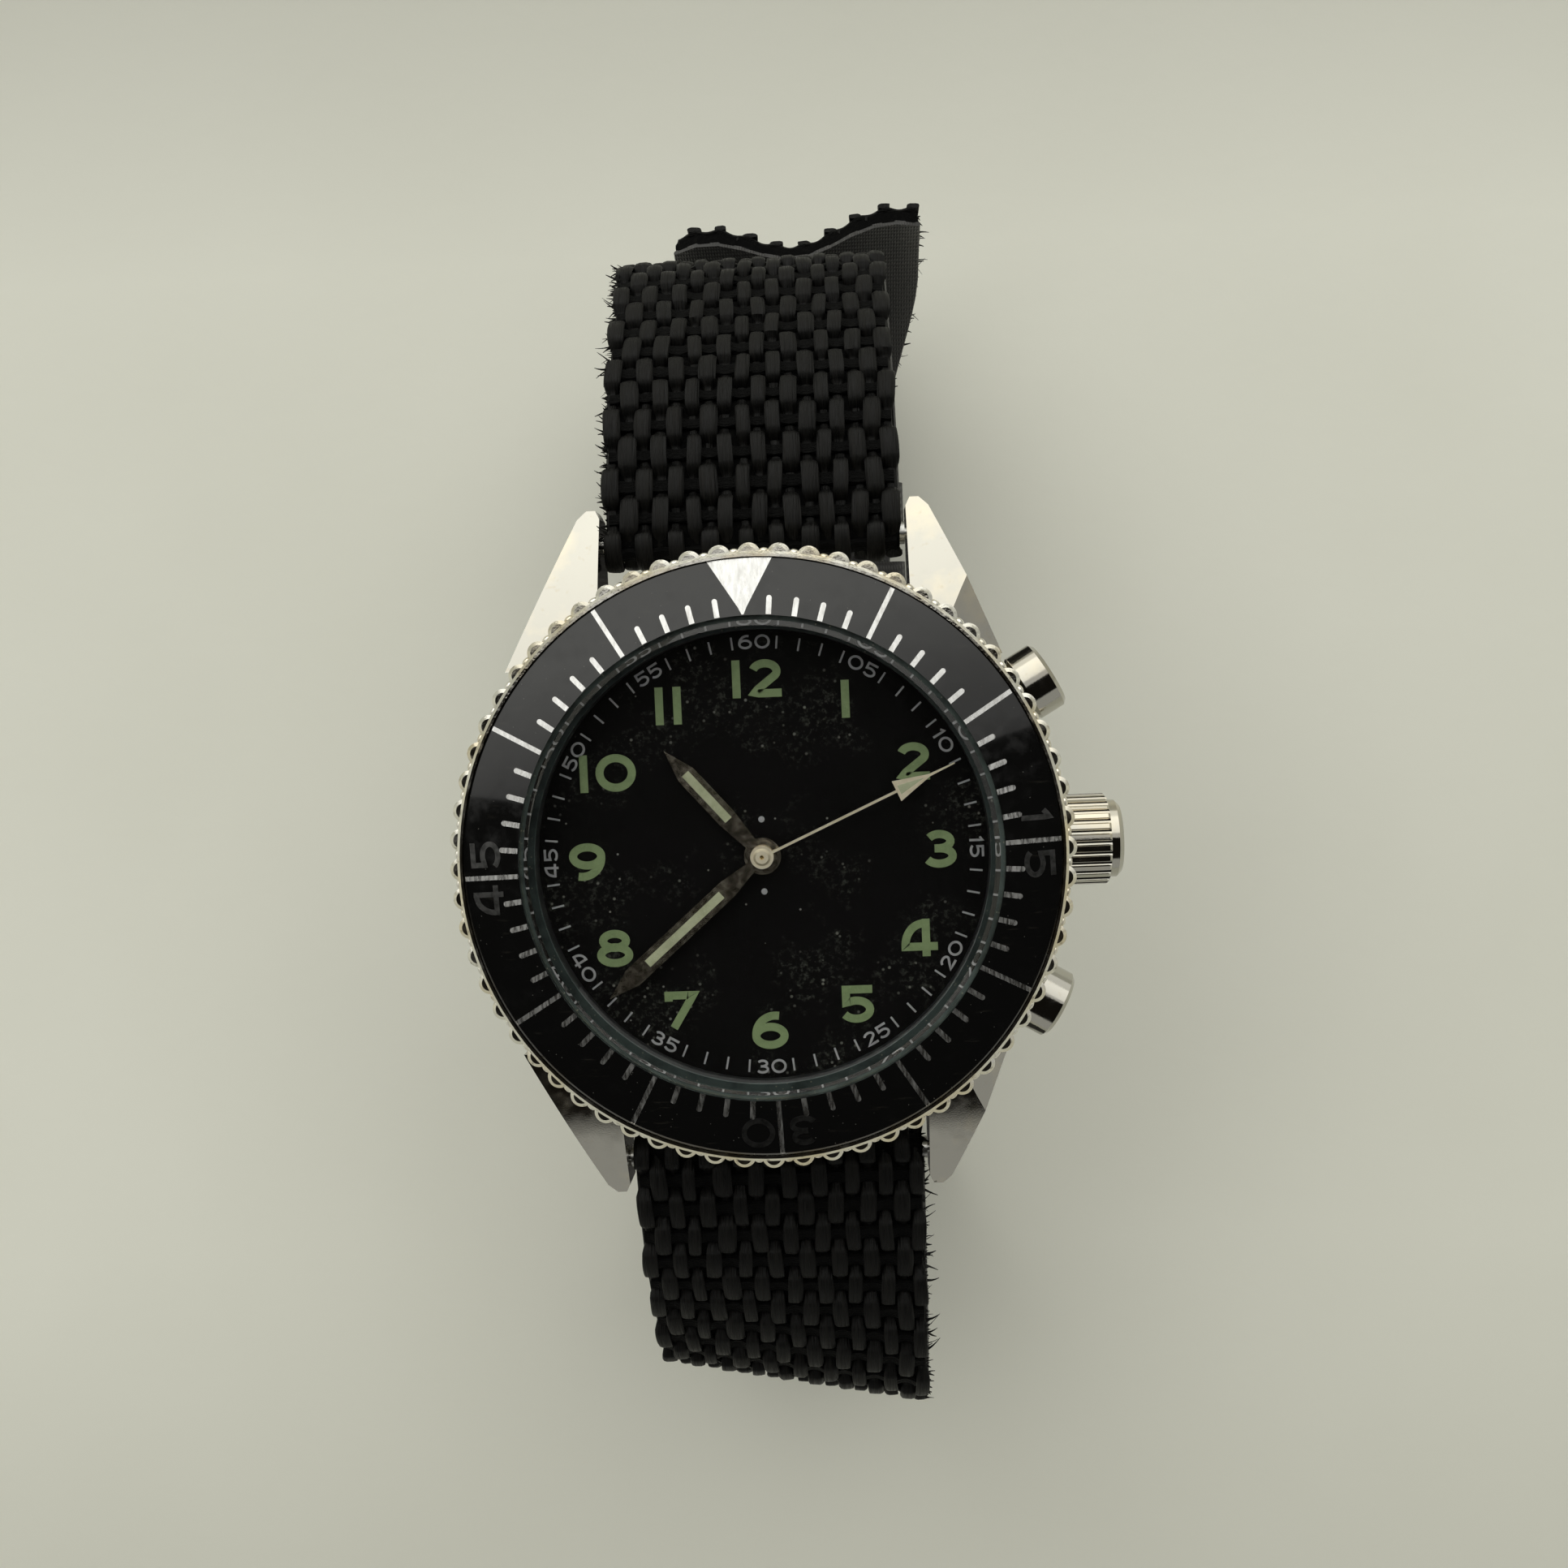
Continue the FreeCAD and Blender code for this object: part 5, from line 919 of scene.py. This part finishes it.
class Band:
    """A strap half: its route, the side of the watch that it is on, and the body that it rides on.

    lean(stations) tips the band's outside towards its right edge, in millimetres a millimetre of width,
    sink(stations) draws it in, and drift(stations) carries it sideways.
    """

    def __init__(self, name, route, mirror, seed, lean, sink, drift, ragged=None):
        self.name = name
        self.route = route
        self.mirror = mirror
        self.random = random.Random(seed)
        self.lean = lean
        self.sink = sink
        self.drift = drift
        self.ragged = ragged

    def lay(self, x, stations, offset):
        """Points at x across and offset outside of the middle line, with outward directions."""
        stations = np.asarray(stations, float)
        xs = np.broadcast_to(x, len(stations))
        if self.ragged:
            stations = stations - self.ragged(stations, xs)
        place, out = self.route.sample(stations)
        away = np.asarray(offset, float) + self.lean(stations) * xs - self.sink(stations)
        flat = place + out * away[:, None]
        points = np.column_stack([xs + self.drift(stations), flat[:, 0] * self.mirror, flat[:, 1]])
        outward = np.column_stack([np.zeros(len(out)), out[:, 0] * self.mirror, out[:, 1]])
        return points, outward

    def slab(self, shape, left, right, start, end, low, high, step=0.6):
        """A closed strip with rounded edges between two offsets."""
        stations = np.linspace(start, end, max(2, int((end - start) / step)))
        round_off = SLAB_ROUNDING * (high - low)
        across = np.linspace(left + round_off, right - round_off, SLAB_COLUMNS)
        corner = [(left, low + round_off), (left, high - round_off)] + [(x, high) for x in across]
        corner += [(right, high - round_off), (right, low + round_off)] + [(x, low) for x in across[::-1]]
        lines = [self.lay(x, stations, np.full(len(stations), offset))[0] for x, offset in corner]
        rings = np.stack(lines, 1)
        shape.grid(rings, caps=False)
        shape.flat_caps(len(rings), len(corner))


def float_lift(stations, phase):
    """How far a warp yarn rises, from 0 in its dip to 1 on its float."""
    share = np.mod(stations / WEAVE_PERIOD + phase, 1.0)
    away = np.abs(share - 0.5)
    ramp = np.clip((FLOAT_SHARE / 2 + FLOAT_MARGIN - away) / FLOAT_RAMP, 0, 1)
    crown = 1 - FLOAT_FALL * np.clip(away / (FLOAT_SHARE / 2), 0, 1) ** 2
    return ramp * ramp * (3 - 2 * ramp) * crown


def warp_yarns(band, start, end, skip):
    """Flat yarns along the strap, each floating over the weft and dipping under it in turn."""
    shape = Shape()
    pitch = 2 * STRAP_HALF / WARP_COUNT
    sides = 10
    for column in range(WARP_COUNT):
        x = -STRAP_HALF + pitch * (column + 0.5) + band.random.uniform(-0.08, 0.08)
        phase = 0.5 * (column % 2) + band.random.uniform(-0.025, 0.025)
        full = pitch * band.random.uniform(0.88, 1.12)
        ridges = 1 + np.array([band.random.uniform(-0.12, 0.1) for _ in range(sides)])
        drift = band.random.uniform(0, 6.28)
        for first, last in skip(x, start, end):
            stations = np.arange(first, last, WARP_STEP)
            lift = float_lift(stations, phase)
            wander = WANDER * np.sin(stations * WANDER_RATE + drift)
            xs = np.clip(x + wander, -STRAP_HALF + WARP_EDGE, STRAP_HALF - WARP_EDGE)
            low = CORE_TOP - WARP_DIP
            path, out = band.lay(xs, stations, low + (WARP_LIFT - low) * lift)
            across = np.tile([1.0, 0, 0], (len(path), 1))
            width = full * (DIP_WIDTH + (1 - DIP_WIDTH) * np.sqrt(lift))
            tube(shape, path, sides, out, across, width, np.full(len(path), YARN_HEIGHT), ridges)
    return shape.piece(f"{band.name}_warp", band.name, LOOKS["warp"], flip=band.mirror < 0)


def weft_yarns(band, start, end, gap):
    """Yarns across the strap, seen in the gaps between the floats."""
    shape = Shape()
    pitch = 2 * STRAP_HALF / WARP_COUNT
    half_period = WEAVE_PERIOD / 2
    row = math.ceil(start / half_period)
    whole = np.linspace(-STRAP_HALF + WEFT_EDGE, STRAP_HALF - WEFT_EDGE, 92)
    while row * half_period < end:
        station = row * half_period
        parity = 1 if row % 2 else -1
        thick = band.random.uniform(0.85, 1.05)
        free = gap(station)
        for xs in [whole] if free == 0 else [whole[whole < -free], whole[whole > free]]:
            column = (xs + STRAP_HALF) / pitch - 0.5
            rise = 0.5 - 0.5 * np.cos(math.pi * column) * -parity
            place, out = band.lay(xs, np.full(len(xs), station), WEFT_LIFT * rise + WEFT_BASE)
            ahead = np.cross(out, [1.0, 0, 0])
            tube(shape, place, 8, out, ahead, np.full(len(xs), thick), np.full(len(xs), WEFT_HEIGHT))
        row += 1
    return shape.piece(f"{band.name}_weft", band.name, LOOKS["weft"])


def fray(band, side, start, end, count):
    """Loose fibre ends along one cut edge."""
    shape = Shape()
    for _ in range(count):
        station = band.random.uniform(start, end)
        base, out = band.lay(side * (STRAP_HALF - 0.25), [station], [band.random.uniform(-0.6, 0.8)])
        ahead = np.cross([1.0, 0, 0], out[0])
        long = band.random.choice(FRAY_LENGTHS) * band.random.uniform(0.6, 1.2)
        way = np.array([side, 0, 0]) + ahead * band.random.uniform(-0.9, 0.9)
        way = way + out[0] * band.random.uniform(-0.4, 0.6)
        droop = ahead * band.random.uniform(-0.5, 0.5) + out[0] * band.random.uniform(-0.3, 0.3)
        t = np.linspace(0, 1, 5)[:, None]
        path = base + way * long * t + droop * long * t * t
        thick = band.random.uniform(0.1, 0.34) * (1 - 0.8 * t[:, 0])
        up = np.tile(out, (5, 1))
        tube(shape, path, 4, up, np.tile(ahead, (5, 1)), thick, thick)
    return shape.piece(f"{band.name}_frayed_edge", band.name, LOOKS["warp"])


def strap_half(band, node, end, skip, gap, fray_side, cutters):
    """Core, lining, warp, weft and frayed edge of one half."""
    past_eye = EYE_LINE * math.radians(EYE_TURN)
    side = STRAP_HALF - CORE_INSET
    core = Shape()
    band.slab(core, -side, side, 0.0, past_eye, -0.1, CORE_TOP + 0.1, 0.2)
    band.slab(core, -side, side, past_eye, end, CORE_BOTTOM, CORE_TOP)
    body = core.piece(f"{band.name}_core", band.name, LOOKS["strap_core"], flip=band.mirror < 0)
    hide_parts(node)
    backing = Shape()
    band.slab(backing, -STRAP_HALF, STRAP_HALF, past_eye, end, LINING_BOTTOM, LINING_TOP)
    textile = LOOKS["strap_textile"]
    pieces = [body, backing.piece(f"{band.name}_lining", band.name, textile, flip=band.mirror < 0)]
    for piece in pieces:
        punch(piece, cutters)
    for cutter in cutters:
        bpy.data.objects.remove(cutter)
    pieces.append(warp_yarns(band, 0.6, end, skip))
    pieces.append(weft_yarns(band, 0.6, end - 0.3, gap))
    pieces.append(fray(band, fray_side, 1.0, end, FRAY_COUNT))


def hole_spots():
    """The Y of each of the tail's holes."""
    return [HOLE_FIRST_Y + index * HOLE_PITCH for index in range(HOLE_COUNT)]


def station_at(route, y):
    """The distance along the lower route at which its underside passes a Y of the watch."""
    stations = np.arange(route.length * 0.3, route.length - TAIL_LENGTH, 0.1)
    places, outward = route.sample(stations)
    below = outward[:, 1] < -0.9
    return stations[below][np.argmin(np.abs(places[below][:, 0] * -1 - y))]


def clear_of_holes(route):
    """Breaks the middle warp yarns at the holes."""
    places = [station_at(route, y) for y in hole_spots()]

    def runs(x, start, end):
        if abs(x) > HOLE_RADIUS + HOLE_MARGIN:
            return [(start, end)]
        edges = [start]
        for place in sorted(places):
            edges += [place - HOLE_RADIUS - HOLE_MARGIN, place + HOLE_RADIUS + HOLE_MARGIN]
        edges.append(end)
        return [(a, b) for a, b in zip(edges[::2], edges[1::2]) if b - a > 1]
    return runs


def gap_at_holes(route):
    """Half of the width that a weft yarn leaves free where it meets a hole."""
    places = [station_at(route, y) for y in hole_spots()]

    def free(station):
        near = any(abs(station - place) < HOLE_RADIUS + RING_WIRE for place in places)
        return HOLE_RADIUS + RING_WIRE / 2 if near else 0
    return free


def gap_at_slot(route):
    """Half of the width that a weft yarn leaves free where it meets the slot."""
    def free(station):
        return SLOT_HALF + HOLE_MARGIN if station > route.length - SLOT_LENGTH else 0
    return free


def clear_of_slot(route):
    """Breaks the middle warp yarns at the slot for the buckle's tongue."""
    def runs(x, start, end):
        return [(start, end - SLOT_LENGTH)] if abs(x) < SLOT_HALF + 0.3 else [(start, end)]
    return runs


def punch(piece, cutters):
    """Cuts solid shapes out of a piece."""
    for cutter in cutters:
        cut = piece.modifiers.new("punch", "BOOLEAN")
        cut.object = cutter
        cut.solver = "EXACT"
    bpy.context.view_layer.update()
    graph = bpy.context.evaluated_depsgraph_get()
    mesh = bpy.data.meshes.new_from_object(piece.evaluated_get(graph))
    piece.modifiers.clear()
    piece.data = mesh


def prism(name, outline, low, high):
    """A temporary cutter: an outline in XY carried from low to high."""
    shape = Shape()
    shape.grid([[(x, y, low) for x, y in outline], [(x, y, high) for x, y in outline]])
    return shape.plain(name)


def hole_rings(band, route):
    """A bound edge of yarn round each hole, on the outside of the strap."""
    shape = Shape()
    for y in hole_spots():
        station = station_at(route, y)
        reach = HOLE_RADIUS + RING_WIRE / 2
        rings = []
        for angle in np.linspace(0, FULL_TURN, 33):
            along = station + reach * math.sin(angle)
            base, out = band.lay([reach * math.cos(angle)], [along], [RING_HEIGHT])
            away = np.array([math.cos(angle), -math.sin(angle), 0.0])
            rings.append([base[0] + RING_WIRE / 2 * (away * math.cos(a) + out[0] * RING_TALL * math.sin(a))
                          for a in round_angles(8)])
        shape.grid(rings, caps=False)
    return shape.piece(f"{band.name}_hole_edges", band.name, LOOKS["warp"])


def still(stations):
    return np.zeros(len(stations))


def wavy_end(first, last):
    """Draws the end back between two peaks, and more at the left than at the right."""
    def drawn_back(stations, xs):
        wave = PEAK_DEPTH * (1 + np.cos(FULL_TURN * xs / PEAK_SPACING)) + TAIL_SLANT * (STRAP_HALF - xs)
        return wave * swell(stations, first, last, last + 1, last + 2)
    return drawn_back


def upper_strap():
    """The short half, drawn in a little below its shoulder."""
    route = upper_route()
    upper = Band("strap_upper", route, 1, 11, still, lambda s: 1.8 * swell(s, 12, 26, 36, 46), still)
    slot = [(-SLOT_HALF, BUCKLE_Y - 3), (SLOT_HALF, BUCKLE_Y - 3),
            (SLOT_HALF, BUCKLE_Y + SLOT_LENGTH), (-SLOT_HALF, BUCKLE_Y + SLOT_LENGTH)]
    cutters = [prism("slot", slot, BUCKLE_Z - 3, BUCKLE_Z + 3)]
    strap_half(upper, "strap_upper", route.length, clear_of_slot(route), gap_at_slot(route), -1, cutters)


def lower_strap():
    """The long half, tipped to one side near its shoulder, its tail carried to the right."""
    route = lower_route()
    tail = route.length - TAIL_LENGTH
    end = route.length - TAIL_TRIM
    lower = Band("strap_lower", route, -1, 23, lambda s: 0.17 * swell(s, 8, 24, 36, 50), still,
                 lambda s: 3.2 * swell(s, tail - 8, tail + 10, 900, 901), wavy_end(route.length - 14, end))
    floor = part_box("strap_lower")[0].z / MM
    cutters = [prism(f"hole_{index}", disc(0, y, HOLE_RADIUS), floor - 1, floor + 3)
               for index, y in enumerate(hole_spots())]
    strap_half(lower, "strap_lower", end, clear_of_holes(route), gap_at_holes(route), 1, cutters)
    hole_rings(lower, route)


# ---- stage

CAMERA_PLACE = (5.73, 10.12, 112.1)
CAMERA_TURN = (-3.11, 2.15, -2.36)
CAMERA_LENS = 37.37
FLOOR_HALF = 600
FLOOR_GAP = 0.5
ROOM_DIM = (0.45, 0.45, 0.42)
ROOM_PALE = (1.3, 1.3, 1.21)


def stage():
    """A floor just below the watch."""
    half = FLOOR_HALF * MM
    mesh = bpy.data.meshes.new("floor")
    corners = [(-half, -half, 0), (half, -half, 0), (half, half, 0), (-half, half, 0)]
    mesh.from_pydata(corners, [], [(0, 1, 2, 3)])
    mesh.materials.append(pale_floor())
    floor = bpy.data.objects.new("floor", mesh)
    floor.location = (0, 0, CAD_BOX[0].z - FLOOR_GAP * MM)
    bpy.context.scene.collection.objects.link(floor)


def lamp(name, place, aim, size, power, colour):
    light = bpy.data.lights.new(name, "AREA")
    light.shape = "RECTANGLE"
    light.size = size[0] * MM
    light.size_y = size[1] * MM
    light.energy = power
    light.color = colour
    made = bpy.data.objects.new(name, light)
    made.location = Vector(place) * MM
    made.rotation_euler = (Vector(aim) - Vector(place)).to_track_quat("-Z", "Y").to_euler()
    bpy.context.scene.collection.objects.link(made)


def world_ramp(tree, way, towards, first, second):
    """A colour that changes with the angle between a ray and one direction, by its cosine."""
    dot = tree.nodes.new("ShaderNodeVectorMath")
    dot.operation = "DOT_PRODUCT"
    dot.inputs[1].default_value = towards
    tree.links.new(way, dot.inputs[0])
    ramp = tree.nodes.new("ShaderNodeValToRGB")
    for element, (position, colour) in zip(ramp.color_ramp.elements, (first, second)):
        element.position = position
        element.color = (*colour, 1)
    tree.links.new(dot.outputs["Value"], ramp.inputs["Fac"])
    return ramp.outputs["Color"]


def surroundings():
    """A pale room with a dark patch overhead, a little to the 6 o'clock side."""
    world = bpy.data.worlds.new("room")
    world.use_nodes = True
    tree = world.node_tree
    background = tree.nodes["Background"]
    way = tree.nodes.new("ShaderNodeTexCoord").outputs["Generated"]
    overhead = Vector((0.0, -0.364, 1.0)).normalized()
    patch = world_ramp(tree, way, overhead, (0.735, (1, 1, 1)), (0.79, (0.02, 0.018, 0.016)))
    room = world_ramp(tree, way, Vector((-0.25, 1, 0)).normalized(), (0.0, ROOM_DIM), (0.9, ROOM_PALE))
    both = tree.nodes.new("ShaderNodeMix")
    both.data_type = "RGBA"
    both.blend_type = "MULTIPLY"
    both.inputs["Factor"].default_value = 1.0
    tree.links.new(patch, both.inputs["A"])
    tree.links.new(room, both.inputs["B"])
    tree.links.new(both.outputs["Result"], background.inputs["Color"])
    background.inputs["Strength"].default_value = 1.0
    bpy.context.scene.world = world


def camera():
    made = bpy.data.cameras.new("camera")
    made.lens = CAMERA_LENS
    made.clip_start = 0.005
    view = bpy.data.objects.new("camera", made)
    view.location = Vector(CAMERA_PLACE) * MM
    view.rotation_euler = [math.radians(a) for a in CAMERA_TURN]
    bpy.context.scene.collection.objects.link(view)
    bpy.context.scene.camera = view


dress_nodes()
for hand in ("hour_hand", "minute_hand", "seconds_hand"):
    soften(hand, HAND_BEVEL)
for keeper in ("fixed_keeper", "free_keeper"):
    soften(keeper, KEEPER_BEVEL)
hour_figures()
minute_track()
dial_dots()
insert_markings()
bezel_links()
upper_strap()
lower_strap()
stage()
lamp("top_panel", (-40, 470, 580), (0, 0, 0), (1450, 1000), 3.1, (1.0, 0.99, 0.95))
surroundings()
camera()
bpy.context.scene.view_settings.view_transform = "Standard"
